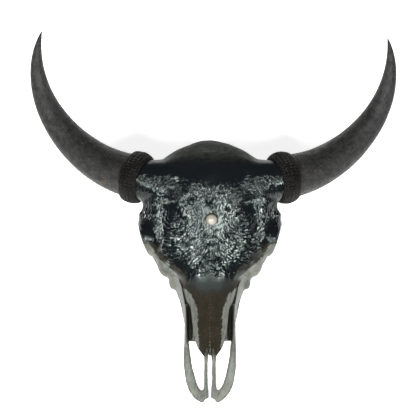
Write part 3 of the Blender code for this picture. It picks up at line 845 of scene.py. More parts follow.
@dataclass
class HornPlan:
    """Where a horn starts, how it bends and how thick it is."""

    side: int
    roll: float
    root: Row = (142.5, 101.5, 160.3)
    out: Row = (0.92, 0.20, -0.38)  # across, up the face, out of the face
    lift: Row = (0.0, 0.884, 0.468)
    face_tilt: float = 18.0
    length: float = 433
    straight: float = 28  # the length in the collar, neither bent nor tapered
    base_radius: float = 45.6
    fullness: float = 1.25
    taper: float = 0.85
    bend_start: float = 39.4
    bend_near: float = 0.250  # degrees for each millimetre, up to bend_change
    bend_far: float = 0.320
    bend_change: float = 236.2
    tip_left: float = 2

    def _turned(self, direction: Row) -> Vector:
        """Turns a direction set out on the face's plane into the skull's plan."""
        tilt = math.radians(self.face_tilt)
        roll = Matrix.Rotation(math.radians(self.roll), 3, "Z")
        across, up_face, out_of_face = roll @ Vector(direction)
        y = up_face * math.cos(tilt) - out_of_face * math.sin(tilt)
        z = up_face * math.sin(tilt) + out_of_face * math.cos(tilt)
        return Vector((across * self.side, y, z)).normalized()

    @property
    def outward(self) -> Vector:
        """The direction in which the horn leaves the skull."""
        return self._turned(self.out)

    @property
    def upward(self) -> Vector:
        """The direction towards which the horn bends."""
        return self._turned(self.lift)

    @property
    def start(self) -> Vector:
        """The middle of the horn's root."""
        return Vector(self.root) * Vector((self.side, 1, 1))

    def radius(self, along: float) -> float:
        """The radius at a distance from the root."""
        run = self.length + self.tip_left - self.straight
        gone = max(0.0, along - self.straight) / run
        return self.base_radius * (1 - gone**self.fullness) ** self.taper

    def path(self, count: int) -> list[tuple[Vector, Vector, float]]:
        """Walks along the middle of the horn.

        Args:
            count: the number of steps.

        Returns:
            A point, a direction and the distance from the root, for each step.
        """
        out, lift = self.outward, self.upward
        point = self.start
        bends = (0, self.bend_near, self.bend_far)
        step = self.length / count
        walk = []
        turned = 0.0
        for i in range(count + 1):
            along = i * step
            angle = math.radians(turned)
            walk.append((point.copy(), out * math.cos(angle) + lift * math.sin(angle), along))
            change = bends[(along >= self.bend_start) + (along >= self.bend_change)] * step
            middle = math.radians(turned + change / 2)
            point = point + (out * math.cos(middle) + lift * math.sin(middle)) * step
            turned += change
        return walk


@dataclass
class Horn:
    """One horn sheath, with growth rings at its root and lengthwise grooves."""

    word: str
    plan: HornPlan
    sides: int = 112
    rings: int = 300
    slimness: float = 0.988
    ring_depth: float = 0.28
    ring_pitch: float = 9.5
    ring_wander: float = 5
    ring_fade: Row = (50, 150)  # the distances from the root between which the rings fade out
    root_fade: Row = (60, 170)  # the same for the stained root
    groove_depth: float = 0.45
    scuff_depth: float = 0.5
    plain_below: float = 20  # the radius below which the relief fades towards the tip

    def build(self, material: bpy.types.Material) -> bpy.types.Object:
        """Builds the sheath.

        Args:
            material: its finish.

        Returns:
            The finished piece.
        """
        out, lift = self.plan.outward, self.plan.upward
        upright = out.cross(lift)
        walk = self.plan.path(self.rings)
        points = np.array([p for p, _, _ in walk])
        along = np.array([a for _, _, a in walk])
        radii = np.array([self.plan.radius(a) for a in along]) * self.slimness
        points[0] += np.array(out) * GAP / 2
        angles = np.arange(self.sides) * 2 * math.pi / self.sides
        grain = self._grain(angles, along, radii)
        relief = self._relief(grain, along, radii)
        round_x, round_y = np.cos(angles)[:, None], np.sin(angles)[:, None]
        loops = []
        mesh = bmesh.new()
        for i, (_, direction, _) in enumerate(walk):
            side = np.array(direction.cross(upright).normalized())
            rise = np.array(Vector(side).cross(direction))
            reach = radii[i] - relief[i]
            ring = points[i] + (round_x * side + round_y * rise) * reach[:, None]
            loops.append([mesh.verts.new(Vector(p) * MM) for p in ring])
        add_skin(mesh, loops, False)
        obj = new_object("horn_" + self.word + "_sheath", mesh)
        keep_field(obj, "grain", grain.reshape(-1, 3))
        keep_field(obj, "root", np.repeat(1 - ease(along, *self.root_fade), self.sides))
        return finish_piece(obj, material, ["horn_" + self.word])

    def _grain(self, angles: np.ndarray, along: np.ndarray, radii: np.ndarray) -> np.ndarray:
        """Lays the horn out straight: two coordinates round it and one along it, in millimetres."""
        reach = np.maximum(radii, 8)[:, None]
        rounds = np.stack([np.cos(angles) * reach, np.sin(angles) * reach], axis=2)
        run = np.repeat(along[:, None, None], len(angles), axis=1)
        return np.concatenate([rounds, run], axis=2)

    def _relief(self, grain: np.ndarray, along: np.ndarray, radii: np.ndarray) -> np.ndarray:
        """Returns how far each vertex is sunk below the plain surface."""
        count = grain.shape[1]
        flat = grain.reshape(-1, 3)
        grooves = noise_at(flat * (0.16, 0.16, 0.012)).reshape(-1, count)
        scuffs = noise_at(flat * (0.06, 0.06, 0.035) + 40).reshape(-1, count)
        wander = noise_at(flat * (0.02, 0.02, 0.01) + 9).reshape(-1, count) * self.ring_wander
        old = 1 - ease(along, *self.ring_fade)
        waves = 0.5 + 0.5 * np.sin((along[:, None] + wander) * 2 * math.pi / self.ring_pitch)
        worn = self.groove_depth * np.clip(grooves, 0, 1) + self.scuff_depth * np.clip(scuffs, 0, 1)
        sunk = self.ring_depth * waves * old[:, None] + worn
        return sunk * np.minimum(1, radii / self.plain_below)[:, None]


@dataclass
class Collar:
    """A plaited cord collar round a horn's root: a padded core with crossing strands over it."""

    word: str
    plan: HornPlan
    width: float = 33
    inner: float = 46.1
    outer: float = 52.8
    back: float = 10  # how far it reaches back over the bone
    bulge: float = 0.06
    lowness: float = 0.74  # how high the core stands, as a share of the whole collar
    core_sides: int = 120
    core_steps: int = 12
    strands: int = 46  # in each direction
    strand_radius: float = 1.95
    weave: float = 1.15  # how far a strand rises and falls over the others
    tuck: float = 6.0  # how far its back edge closes in on the bone
    slant: float = 0.44  # half the angle that a strand goes round, in radians
    steps: int = 34
    swell: float = 0.022  # how uneven its thickness is, as a share of its radius
    sway: float = 1.6  # how uneven its edges are

    def section(self, swing: float) -> tuple[float, float]:
        """Distances along and from the ring's axis, at a swing from its front to its back edge."""
        height = (self.outer - self.inner) * max(0.0, math.sin(swing)) ** 0.6
        along = self.width / 2 * (1 + math.cos(swing) * (1 + self.bulge)) - self.back
        tucked = self.tuck * max(0.0, -math.cos(swing)) ** 1.5
        return along, self.inner + 1 + height * self.lowness - tucked

    def build(self, material: bpy.types.Material) -> bpy.types.Object:
        """Builds the collar.

        Args:
            material: its finish.

        Returns:
            The finished piece.
        """
        plait = self._plait(material)
        core = self._core()
        merged = bmesh.new()
        merged.from_mesh(plait.data)
        merged.from_mesh(core.data)
        bpy.data.objects.remove(core)
        bpy.data.objects.remove(plait)
        obj = new_object("collar_" + self.word + "_plait", merged)
        self._loosen(obj)
        across = self.plan.outward.cross(self.plan.upward)
        turn = Matrix((self.plan.upward, across, self.plan.outward)).transposed().to_4x4()
        if turn.determinant() < 0:
            turn = Matrix((self.plan.upward, -across, self.plan.outward)).transposed().to_4x4()
        obj.data.transform(Matrix.Translation(self.plan.start * MM) @ turn)
        return finish_piece(obj, material, ["collar_" + self.word])

    def _core(self) -> bpy.types.Object:
        """The closed ring under the strands, with its axis along Z."""
        mesh = bmesh.new()
        foot = self.inner + 0.2
        profile = [
            (-self.back + 1, foot - self.tuck - 1),
            (2, foot),
            (self.width - self.back - 1, foot),
        ]
        for k in range(self.core_steps + 1):
            along, reach = self.section(math.pi * k / self.core_steps)
            profile.append((along, reach - 1.0))
        rings = []
        for angle in turns(self.core_sides):
            rings.append([(math.cos(angle) * r, math.sin(angle) * r, a) for a, r in profile])
        add_loft(mesh, rings, ring=True)
        return new_object("collar_core", mesh)

    def _strand(self, way: int) -> list[Vector]:
        """The middle line of one strand, which crosses the collar slanting one way."""
        points = []
        for i in range(self.steps + 1):
            swing = math.pi * (0.02 + 0.96 * i / self.steps)
            along, reach = self.section(swing)
            turn = self.slant * (2 * i / self.steps - 1)
            rise = way * self.weave * math.cos(self.strands * turn) * math.sin(swing) ** 0.3
            angle = way * turn
            spot = Vector((math.cos(angle), math.sin(angle), 0)) * (reach + rise)
            points.append(spot + Vector((0, 0, along)))
        return points

    def _plait(self, material: bpy.types.Material) -> bpy.types.Object:
        """Repeats the two strands round the ring with Geometry Nodes, as a plain mesh."""
        mesh = bmesh.new()
        for way in (1, -1):
            verts = [mesh.verts.new(p * MM) for p in self._strand(way)]
            for near, far in zip(verts, verts[1:]):
                mesh.edges.new((near, far))
        obj = new_object("collar_strands", mesh)
        tree = plait_tree()
        modifier = obj.modifiers.new("Plait", "NODES")
        modifier.node_group = tree
        values = {
            "Strands": self.strands,
            "Strand Radius": self.strand_radius * MM,
            "Material": material,
        }
        for item in tree.interface.items_tree:
            if item.in_out == "INPUT" and item.name in values:
                modifier[item.identifier] = values[item.name]
        return settle(obj)

    def _loosen(self, obj: bpy.types.Object) -> None:
        """Makes the collar slightly uneven round the ring, as wound cord is."""
        places = places_of(obj)
        angle = np.arctan2(places[:, 1], places[:, 0])
        points = np.stack([np.cos(angle) * 3.1, np.sin(angle) * 3.1, places[:, 2] * 0.06], axis=1)
        points += self.plan.side * 7
        reach = np.hypot(places[:, 0], places[:, 1])
        free = ease(reach, self.inner + 1, self.outer)
        swell = 1 + noise_at(points) * self.swell * free
        places[:, 0] *= swell
        places[:, 1] *= swell
        places[:, 2] += noise_at(points * 1.3 + 5) * self.sway * free
        obj.data.vertices.foreach_set("co", (places * MM).astype(np.float32).ravel())
        obj.data.update()


def plait_tree() -> bpy.types.NodeTree:
    """Builds the tree that turns strands about the Z axis and gives them thickness.

    Returns:
        The tree, with the inputs Strands, Strand Radius and Material.
    """
    tree = bpy.data.node_groups.new("plait", "GeometryNodeTree")
    face = tree.interface
    face.new_socket("Geometry", in_out="INPUT", socket_type="NodeSocketGeometry")
    face.new_socket("Strands", in_out="INPUT", socket_type="NodeSocketInt")
    face.new_socket("Strand Radius", in_out="INPUT", socket_type="NodeSocketFloat")
    face.new_socket("Material", in_out="INPUT", socket_type="NodeSocketMaterial")
    face.new_socket("Geometry", in_out="OUTPUT", socket_type="NodeSocketGeometry")
    bench = Bench(tree)
    given = bench.add("NodeGroupInput")
    out = bench.add("NodeGroupOutput")
    lines = bench.add("GeometryNodeMeshToCurve", {"Mesh": given.outputs["Geometry"]})
    profile = bench.add(
        "GeometryNodeCurvePrimitiveCircle",
        {"Resolution": 6, "Radius": given.outputs["Strand Radius"]},
    )
    tube = bench.add(
        "GeometryNodeCurveToMesh",
        {"Curve": lines.outputs[0], "Profile Curve": profile.outputs[0], "Fill Caps": True},
    )
    spots = bench.add("GeometryNodePoints", {"Count": given.outputs["Strands"]})
    step = bench.maths("DIVIDE", 2 * math.pi, given.outputs["Strands"])
    angle = bench.maths("MULTIPLY", bench.add("GeometryNodeInputIndex").outputs[0], step)
    turn = bench.add("ShaderNodeCombineXYZ", {2: angle})
    copies = bench.add(
        "GeometryNodeInstanceOnPoints",
        {"Points": spots.outputs[0], "Instance": tube.outputs[0], "Rotation": turn.outputs[0]},
    )
    real = bench.add("GeometryNodeRealizeInstances", {"Geometry": copies.outputs[0]})
    dressed = bench.add(
        "GeometryNodeSetMaterial",
        {"Geometry": real.outputs[0], "Material": given.outputs["Material"]},
    )
    tree.links.new(dressed.outputs[0], out.inputs[0])
    return tree


@dataclass
class NasalBones:
    """The two nasal bones that roof the nose."""

    rows: tuple[Row, ...] = (  # y, crest, half width, fall at the edges, thickness
        (-54, 166.5, 3, 0.5, 6),
        (-70, 161, 17, 2, 7),
        (-92, 155, 35, 7, 7),
        (-116, 148.5, 43, 13, 7),
        (-146, 139, 40, 17, 7),
        (-176, 129, 37, 17, 6),
        (-206, 119.5, 33, 15, 6),
        (-234, 110, 26, 10, 5),
        (-254, 103.5, 13, 4, 4),
    )
    bend: float = 3
    squareness: float = 4
    seam: float = 0.1
    valley_depth: float = 0.25
    notch_depth: float = 16
    notch_width: float = 9

    def space(self) -> bpy.types.Object:
        """The space that the bones take from the bone round them."""
        mesh = bmesh.new()
        add_vault(mesh, self.rows, 60, 60, self.bend, GAP / 2, self.squareness)
        return new_object("nasal_seat", mesh)

    def build(self, material: bpy.types.Material) -> list[bpy.types.Object]:
        """Builds both bones.

        Args:
            material: their finish.

        Returns:
            The left and the right bone.
        """
        mesh = bmesh.new()
        add_vault(mesh, self.rows, 150, 150, self.bend, 0, self.squareness)
        pair = new_object("nasals", mesh)
        self._shape(pair)
        for side in (-1, 1):
            cut_with(pair, self._notch(side))
        made = halves(pair, midline_sheet(self.seam), 0, ("nasal_left_bone", "nasal_right_bone"))
        for piece, (word, _) in zip(made, SIDES):
            skull_fields(piece)
            finish_piece(piece, material, ["nasal_" + word])
        return made

    def _shape(self, pair: bpy.types.Object) -> None:
        """Gives the outer face its fibres and the low valley between the two bones."""
        places = places_of(pair)
        outside = ease(normals_of(pair)[:, 2], 0.1, 0.5)
        fibres = noise_at(places * (0.22, 0.03, 0.1))
        lumps = noise_at(places * (0.05, 0.03, 0.05) + 20)
        valley = -self.valley_depth * np.exp(-((places[:, 0] / 2.0) ** 2))
        move_out(pair, (fibres * 0.35 + lumps * 0.7 - 0.5 + valley) * outside)

    def _notch(self, side: int) -> bpy.types.Object:
        """The notch in the front end of one bone, which leaves it two points."""
        mesh = bmesh.new()
        tip = NASAL_TIP - 2
        middle = 6.5 * side
        outline = (
            (middle - self.notch_width / 2, tip),
            (middle + self.notch_width / 2, tip),
            (middle + 0.6, tip + self.notch_depth),
            (middle - 0.6, tip + self.notch_depth),
        )
        add_loft(mesh, [[(x, y, z) for x, y in outline] for z in (60, 160)])
        return new_object("notch", mesh)


LACQUER_EDGE = (  # y, and how far the lacquered hide reaches from the midline
    (-340, 20),
    (-260, 22),
    (-187, 25),
    (-164, 26),
    (-134, 39),
    (-120, 51),
    (-108, 61),
    (-90, 69),
    (-82, 77),
    (-72, 92),
    (-56, 108),
    (-38, 121),
    (-20, 200),
)
LACQUER_LOW = 84  # z down to which the hide reaches at the sides
WHORL = (69, 20, 45)  # x, and the two ends in y, of the line that the strands circle
LEAN = 0.2  # how far their circles open downwards
STRAND_SWAY = 5  # how far the strands stray from their circles
HIDE_SWAY = 9  # how far the hide's lower edge strays up and down
HIDE_LEAST = 0.14  # the share of the strands that is left away from the brow


def strand_lie(x: np.ndarray, y: np.ndarray) -> np.ndarray:
    """Returns the measure in millimetres whose level lines the strands of the brow follow."""
    middle, near, far = WHORL
    off = np.maximum(0, np.maximum(y - far, near - y))
    return np.hypot(np.abs(x) - middle, off) + LEAN * y


def brow_height(x: np.ndarray, y: np.ndarray) -> np.ndarray:
    """Returns how far up the brow each point is, by a measure that dips towards the midline."""
    return y - 0.28 * np.minimum(np.abs(x), 100) + 3 * np.sin(x * 0.11 + 1) + 2 * np.sin(x * 0.31)


def skull_fields(obj: bpy.types.Object) -> None:
    """Keeps on a bone what its material reads.

    The fields are dark, the distance inside the hide's edge; lie, which the strands follow; hide,
    thin, matt and crown, the shares of strands, of brown, of dullness and of scratches; and a mask
    of painted shade in the surface's dips and inside the nose.

    Args:
        obj: the bone, on the skull's own plan.
    """
    places = places_of(obj)
    x, y, z = places.T
    up = normals_of(obj)[:, 2]
    edge_y, edge_x = zip(*LACQUER_EDGE)
    reach = np.interp(y, edge_y, edge_x)
    dark = np.minimum(reach - np.abs(x), z - LACQUER_LOW)
    keep_field(obj, "dark", dark - 40 * (1 - ease(up, -0.75, -0.35)))
    sway = STRAND_SWAY * noise_at(places * 0.028 + 70)
    keep_field(obj, "lie", strand_lie(x, y) + sway)
    low = y + HIDE_SWAY * noise_at(places * 0.055 + 20)
    hide = (1 - ease(brow_height(x, y), 48, 84)) * ease(low - 0.35 * np.abs(x), -116, -90)
    hide = hide * ease(up, 0.0, 0.35)
    keep_field(obj, "hide", HIDE_LEAST + (1 - HIDE_LEAST) * hide)
    keep_field(obj, "thin", ease(-y, 116, 148))
    keep_field(obj, "matt", ease(-low, 96, 118) + ease(y, 112, 150))
    keep_field(obj, "crown", ease(y, 108, 158))
    # Painted shade: the inside of the nose passage is darkened, where shade falls in it.
    inside = ease(-y, 128, 146) * (1 - ease(np.abs(x), 45, 48))
    inside = inside * ease(104 + 0.55 * (y + 150) - z, 0, 10)
    # Kept as a mask of painted shade for the colour of the stains.
    keep_field(obj, "painted_shade", np.maximum(shade_in_hollows(obj), inside * 1.6))


def shade_in_hollows(obj: bpy.types.Object) -> np.ndarray:
    """Returns how deep the surface dips at each vertex, from 0 to 1, as a mask of painted shade.

    Args:
        obj: the object to read.

    Returns:
        One number for each vertex.
    """
    count = len(obj.data.vertices)
    places = places_of(obj)
    edges = np.empty(len(obj.data.edges) * 2, np.int32)
    obj.data.edges.foreach_get("vertices", edges)
    first, second = edges.reshape(-1, 2).T
    values = places.copy()
    weight = np.bincount(first, minlength=count) + np.bincount(second, minlength=count)
    for _ in range(6):
        total = np.zeros_like(values)
        for axis in range(3):
            total[:, axis] = np.bincount(first, values[second, axis], count)
            total[:, axis] += np.bincount(second, values[first, axis], count)
        values = total / np.maximum(weight, 1)[:, None]
    dip = ((values - places) * normals_of(obj)).sum(axis=1)
    return ease(dip, 0.25, 1.4)


@dataclass
class SkullBone:
    """The bones of the skull, blended as one mass and then parted along their sutures.

    Limbs are rows of x, y, z, half width and half height. The nose passage and the muzzle are rows
    of y, top, underside, half width at the top and at the underside. The brow's roof is rows of y,
    crest, half width, fall at the edges and thickness. The sutures are rows of y and z.
    """

    horns: dict[str, HornPlan]
    collars: dict[str, Collar]
    nasals: NasalBones
    voxel: float = 2.1
    blend_steps: int = 15
    thin_ratio: float = 0.52
    brow_wrinkle: float = 0.38
    wrinkle_size: Row = (8.5, 26)  # across and along the strands
    brow_roof: tuple[Row, ...] = (
        (-112, 141, 42, 12, 24),
        (-94, 147, 66, 18, 28),
        (-78, 153, 88, 24, 32),
        (-58, 160, 112, 28, 36),
        (-38, 168, 129, 31, 38),
        (-14, 178, 146, 35, 40),
        (8, 187, 147, 35, 42),
        (32, 197, 141, 30, 46),
        (56, 206, 139, 24, 54),
        (82, 213, 138, 18, 62),
        (106, 215, 130, 14, 70),
        (128, 213, 113, 12, 88),
        (146, 208, 96, 12, 100),
        (160, 201, 78, 12, 96),
        (172, 190, 52, 9, 72),
        (180, 179, 26, 4, 46),
    )
    muzzle: tuple[Row, ...] = (
        (2, 120, 52, 40, 60),
        (-22, 138, 34, 58, 80),
        (-48, 146, 24, 72, 90),
        (-76, 144, 23, 68, 91),
        (-104, 138, 23, 56, 84),
        (-134, 126, 23, 50, 71),
        (-164, 111, 25, 48, 62),
        (-190, 96, 35, 46, 55),
        (-216, 76, 38, 42, 48),
    )
    nose_passage: tuple[Row, ...] = (
        (-78, 96, 78, 8, 8),
        (-104, 128, 66, 26, 16),
        (-134, 134, 56, 38, 22),
        (-170, 132, 50, 41, 27),
        (-210, 130, 47, 42, 30),
        (-250, 128, 46, 44, 34),
    )
    horn_pedicel: tuple[Row, ...] = (
        (36, 86, 148, 62, 56),
        (74, 90, 153, 56, 51),
        (106, 94, 158, 49, 46),
        (130, 97, 161, 44, 44),
        (158, 105, 155, 44, 44),
    )
    cheek_arch: tuple[Row, ...] = (
        (80, -78, 62, 12, 20),
        (100, -54, 76, 13, 20),
        (117, -26, 83, 11, 17),
        (127, 4, 84, 8, 14),
        (130, 34, 86, 7, 13),
        (128, 64, 92, 7, 13),
        (117, 92, 99, 9, 13),
        (96, 114, 106, 16, 16),
    )
    orbit_bar: tuple[Row, ...] = (
        (138, 27, 156, 8, 12),
        (138, 30, 128, 7, 10),
        (133, 27, 100, 7, 11),
        (128, 22, 82, 6, 11),
    )
    jaw_anchor: tuple[Row, ...] = (
        (84, 114, 102, 32, 20),
        (75, 122, 70, 25, 15),
        (67, 126, 40, 18, 12),
        (61, 127, 14, 12.5, 9),
        (59, 126, -10, 10, 7),
    )
    base_beam: tuple[Row, ...] = (
        (0, 150, 58, 26, 14),
        (0, 112, 50, 25, 15),
        (0, 74, 46, 22, 14),
        (0, 36, 52, 17, 13),
        (0, 6, 60, 15, 14),
    )
    premaxilla: tuple[Row, ...] = (
        (48, -150, 98, 4, 10),
        (48.5, -180, 86, 4.5, 14),
        (48, -212, 69, 6, 14),
        (47, -246, 54, 8, 11),
        (43, -280, 45, 11, 7),
        (34, -310, 40, 12, 5.5),
        (19, -329, 37, 11, 5),
        (10, -335, 36, 8, 5),
    )
    palate_process: tuple[Row, ...] = (
        (8, -332, 37, 7, 5),
        (8, -300, 39, 6, 4.5),
        (8, -250, 42, 6, 5),
        (9, -196, 45, 9, 6),
    )
    palate_wing: tuple[Row, ...] = (
        (26, 34, 66, 5, 22),
        (30, 8, 54, 6, 22),
        (40, -16, 46, 10, 18),
    )
    nose_slot: tuple[Row, ...] = (
        (50, -138, 112, 0.8, 10),
        (47, -150, 107, 3, 16),
        (43, -165, 101, 5, 20),
        (41.5, -187, 93, 5.8, 24),
        (41, -206, 86, 6, 26),
        (41, -228, 80, 6, 30),
    )
    nose_seam: tuple[Row, ...] = (
        (62, -100, 115, 0.9, 6),
        (57, -112, 111, 1.7, 9),
        (54, -124, 106, 2.3, 11),
        (51, -136, 101, 2.8, 13),
        (48, -148, 97, 3.1, 16),
    )
    middle_masses: tuple[Ball, ...] = (
        ((0, 66, 124), (66, 88, 74), (0, 0, 0)),
        ((0, 120, 124), (116, 44, 64), (-4, 0, 0)),
        ((0, 132, 158), (98, 34, 36), (0, 0, 0)),
        ((0, 158, 146), (13, 12, 24), (0, 0, 0)),
    )
    side_masses: tuple[Ball, ...] = (
        ((28, 160, 62), (20, 22, 25), (20, 0, -18)),
        ((44, 96, 50), (15, 22, 19), (0, 0, 0)),
        ((72, -84, 60), (13, 26, 16), (0, 0, 16)),
        ((94, 106, 104), (27, 24, 34), (0, 0, 0)),
        ((86, -60, 106), (24, 34, 26), (0, 0, 0)),
    )
    eye_centre: Row = (132, -15, 121)
    eye_axis: Row = (0.93, -0.34, -0.10)
    eye_rim_radius: float = 37
    eye_rim_thick: float = 9.5
    eye_depth: float = 58
    eye_opening: float = 28
    neck_hole_radius: float = 19
    neck_hole_height: float = 84
    side_hollows: tuple[Ball, ...] = (
        ((62, -142, 60), (12, 10, 6), (0, 0, 30)),
        ((44, 176, 124), (30, 13, 24), (0, 0, 8)),
    )
    middle_hollows: tuple[Ball, ...] = (
        ((0, -92, 22), (30, 96, 16), (0, 0, 0)),
        ((0, 6, 44), (19, 46, 24), (10, 0, 0)),
    )
    brow_relief: tuple[Row, ...] = (  # x, y, height, spread across, spread along
        (42, 56, 6.0, 24, 22),
        (74, 0, 8.5, 21, 19),
        (80, 42, -6.8, 18, 14),
        (96, -6, -4.0, 9, 24),
        (106, -10, 5.0, 12, 26),
        (112, 50, 5.5, 14, 24),
        (0, 62, -3.0, 12, 34),
        (0, -18, -3.0, 22, 22),
        (40, -40, -2.0, 22, 22),
        (0, 146, 2.6, 50, 4),
    )
    relief_above: float = 120
    ledge_middle: Row = (138, 20, 150)
    ledge_reach: float = 27
    ledge_steps: int = 170
    face_suture: tuple[Row, ...] = (
        (-128, 190),
        (-96, 140),
        (-66, 112),
        (-60, 78),
        (-34, 54),
        (10, 30),
        (18, -10),
    )
    nose_suture: tuple[Row, ...] = ((-146, 150), (-158, 104), (-192, 72), (-210, 46), (-206, 10))
    suture_step: float = 1.4
    suture_swing: float = 1.1
    suture_half: float = 0.7  # half its width, as a share of the gap

    def build(
        self, pearl: "Pearl", lacquered: bpy.types.Material, bare: bpy.types.Material
    ) -> dict[str, bpy.types.Object]:
        """Builds all the bones but the nasals, and cuts the pearl's seat.

        Args:
            pearl: what sits in the brow.
            lacquered: the finish of the cranium.
            bare: the finish of the jaw bones.

        Returns:
            The bones by name.
        """
        bone = self._blended()
        for word, plan in self.horns.items():
            cut_with(bone, self._pedicel_trim(plan))
            cut_with(bone, self._collar_seat(plan, self.collars[word]))
        cut_with(bone, self.nasals.space())
        seams = mirrored(lambda mesh: add_limb(mesh, self.nose_seam))
        cut_with(bone, new_object("nose_seams", seams))
        pearl.settle_in(bone)
        sheet = self._suture("face_suture", self.face_suture)
        face, cranium = halves(bone, sheet, 1, ("face", "cranium_bone"))
        made = {"cranium": cranium}
        self._refine_brow(cranium)
        for cheek, (word, _) in zip(halves(face, midline_sheet(), 0, ("a", "b")), SIDES):
            names = ("premaxilla_" + word + "_bone", "maxilla_" + word + "_bone")
            sheet = self._suture("nose_suture", self.nose_suture)
            front, jaw = halves(cheek, sheet, 1, names)
            made["premaxilla_" + word] = front
            made["maxilla_" + word] = jaw
        for name, piece in made.items():
            skull_fields(piece)
            whole = name == "cranium"
            finish_piece(piece, lacquered if whole else bare, [name])
        return made

    def _add_eye_rim(self, mesh: bmesh.types.BMesh) -> None:
        """Adds the raised ring round the eye socket."""
        axis = Vector(self.eye_axis).normalized()
        turn = axis.to_track_quat("Z", "Y")
        thick = self.eye_rim_thick
        rings = []
        for angle in turns(64):
            outward = turn @ Vector((math.cos(angle), math.sin(angle), 0))
            ring = []
            for swing in turns(18):
                reach = self.eye_rim_radius + thick * math.cos(swing) - thick / 2
                offset = outward * reach + axis * (thick * 1.5 * math.sin(swing) - 6)
                ring.append(Vector(self.eye_centre) + offset)
            rings.append(ring)
        add_loft(mesh, rings, ring=True)

    def _masses(self) -> bpy.types.Object:
        """All the bone's masses, fused."""

        def side(mesh: bmesh.types.BMesh) -> None:
            """Adds what is on both sides."""
            for rows in (self.horn_pedicel, self.cheek_arch, self.premaxilla):
                add_limb(mesh, rows)
            add_limb(mesh, self.palate_process)
            add_limb(mesh, self.palate_wing)
            add_limb(mesh, self.orbit_bar, upright=(1, 0, 0))
            add_limb(mesh, self.jaw_anchor, upright=(0, 1, 0))
            self._add_eye_rim(mesh)
            for ball in self.side_masses:
                add_ball(mesh, ball)

        mesh = mirrored(side)
        add_vault(mesh, self.brow_roof, 80, 96)
        add_trunk(mesh, self.muzzle, 60, 3.2)
        add_limb(mesh, self.base_beam)
        for ball in self.middle_masses:
            add_ball(mesh, ball)
        return remeshed(new_object("bone", mesh), self.voxel)

    def _hollows(self) -> bpy.types.Object:
        """Everything that is hollowed out of the bone, fused."""
        axis = Vector(self.eye_axis).normalized()
        turn = tuple(math.degrees(a) for a in axis.to_track_quat("Z", "Y").to_euler())
        sink = tuple(Vector(self.eye_centre) - axis * (self.eye_depth * 0.45))
        radii = (self.eye_opening, self.eye_opening, self.eye_depth)

        def side(mesh: bmesh.types.BMesh) -> None:
            """Adds what is on both sides."""
            add_ball(mesh, (sink, radii, turn))
            add_limb(mesh, self.nose_slot)
            for ball in self.side_hollows:
                add_ball(mesh, ball)

        mesh = mirrored(side)
        add_trunk(mesh, self.nose_passage, 50, 2.4)
        high = self.neck_hole_height
        start, end = Vector((0, 96, high + 6)), Vector((0, 200, high - 6))
        add_rod(mesh, start, end, self.neck_hole_radius)
        for ball in self.middle_hollows:
            add_ball(mesh, ball)
        return remeshed(new_object("hollows", mesh), self.voxel)

    def _blended(self) -> bpy.types.Object:
        """The whole bone in one piece, flat at the floor, with the brow's low relief."""
        bone = cut_with(self._masses(), self._hollows())
        remeshed(bone, self.voxel)
        smoothed(bone, self.blend_steps)
        self._soften_ledge(bone)
        x, y, z = places_of(bone).T
        lift = np.zeros(len(x))
        for across, along, height, wide, long in self.brow_relief:
            reach = ((np.abs(x) - across) / wide) ** 2 + ((y - along) / long) ** 2
            lift += height * np.exp(-reach)
        lift *= np.clip(normals_of(bone)[:, 2], 0, 1) * (z > self.relief_above)
        move_out(bone, lift + self._weathering(bone))
        cut_with(bone, block("below_floor", (-WIDE, -LONG, LOW), (WIDE, LONG, 0)))
        return bone

    def _soften_ledge(self, bone: bpy.types.Object) -> None:
        """Runs the rim of the eye softly into the ledge of the brow above it."""
        x, y, z = places_of(bone).T
        across, along, high = self.ledge_middle
        far = (np.abs(x) - across) ** 2 + (y - along) ** 2 + (z - high) ** 2
        weigh(bone, "ledge", np.exp(-(far / self.ledge_reach**2)), 0.05)
        smoothed(bone, self.ledge_steps, "ledge")
        bone.vertex_groups.clear()

    def _weathering(self, bone: bpy.types.Object) -> np.ndarray:
        """Returns the small unevenness of real bone at each vertex, always inwards."""
        places = places_of(bone)
        broad = noise_at(places * 0.035)
        small = noise_at(places * 0.11 + 30)
        return -0.5 + broad * 0.9 + small * 0.4

    def _pedicel_trim(self, plan: HornPlan) -> bpy.types.Object:
        """Cuts the bone off square where a horn begins."""
        mesh = bmesh.new()
        start = plan.start - plan.outward * GAP / 2
        add_rod(mesh, start, plan.start + plan.outward * 60, plan.base_radius * 1.5)
        return new_object("pedicel_trim", mesh)

    def _collar_seat(self, plan: HornPlan, collar: Collar) -> bpy.types.Object:
        """Clears the bone round its core where a collar goes."""
        core = collar.inner - GAP
        rim = collar.outer * 1.3
        back = -collar.back - collar.bulge * collar.width / 2 - GAP
        across = plan.outward.cross(plan.upward)
        corners = ((back, core), (GAP, core), (GAP, rim), (back, rim))
        mesh = bmesh.new()
        rings = []
        for angle in turns(96):
            radial = plan.upward * math.cos(angle) + across * math.sin(angle)
            rings.append([plan.start + plan.outward * a + radial * r for a, r in corners])
        add_loft(mesh, rings, ring=True)
        return new_object("collar_seat", mesh)

    def _suture(self, name: str, line: Sequence[Row]) -> bpy.types.Object:
        """A thin sheet right across the skull, that zigzags along a suture seen from the side."""
        points = [Vector(p) for p in line]
        walk = [points[0]]
        for near, far in zip(points, points[1:]):
            steps = max(2, round((far - near).length / self.suture_step))
            walk.extend(near.lerp(far, i / steps) for i in range(1, steps + 1))
        front, back = [], []
        for i, spot in enumerate(walk):
            ahead = (walk[min(i + 1, len(walk) - 1)] - walk[max(i - 1, 0)]).normalized()
            away = Vector((-ahead.y, ahead.x))
            beat = noise.noise(Vector((i * 0.31, 2.0, 5.0))) * 1.6 + 0.5 * math.sin(i * 1.9)
            middle = spot + away * beat * self.suture_swing
            front.append(middle - away * GAP * self.suture_half)
            back.append(middle + away * GAP * self.suture_half)
        outline = front + back[::-1]
        mesh = bmesh.new()
        add_loft(mesh, [[(x, p.x, p.y) for p in outline] for x in (-WIDE, WIDE)])
        return new_object(name, mesh)

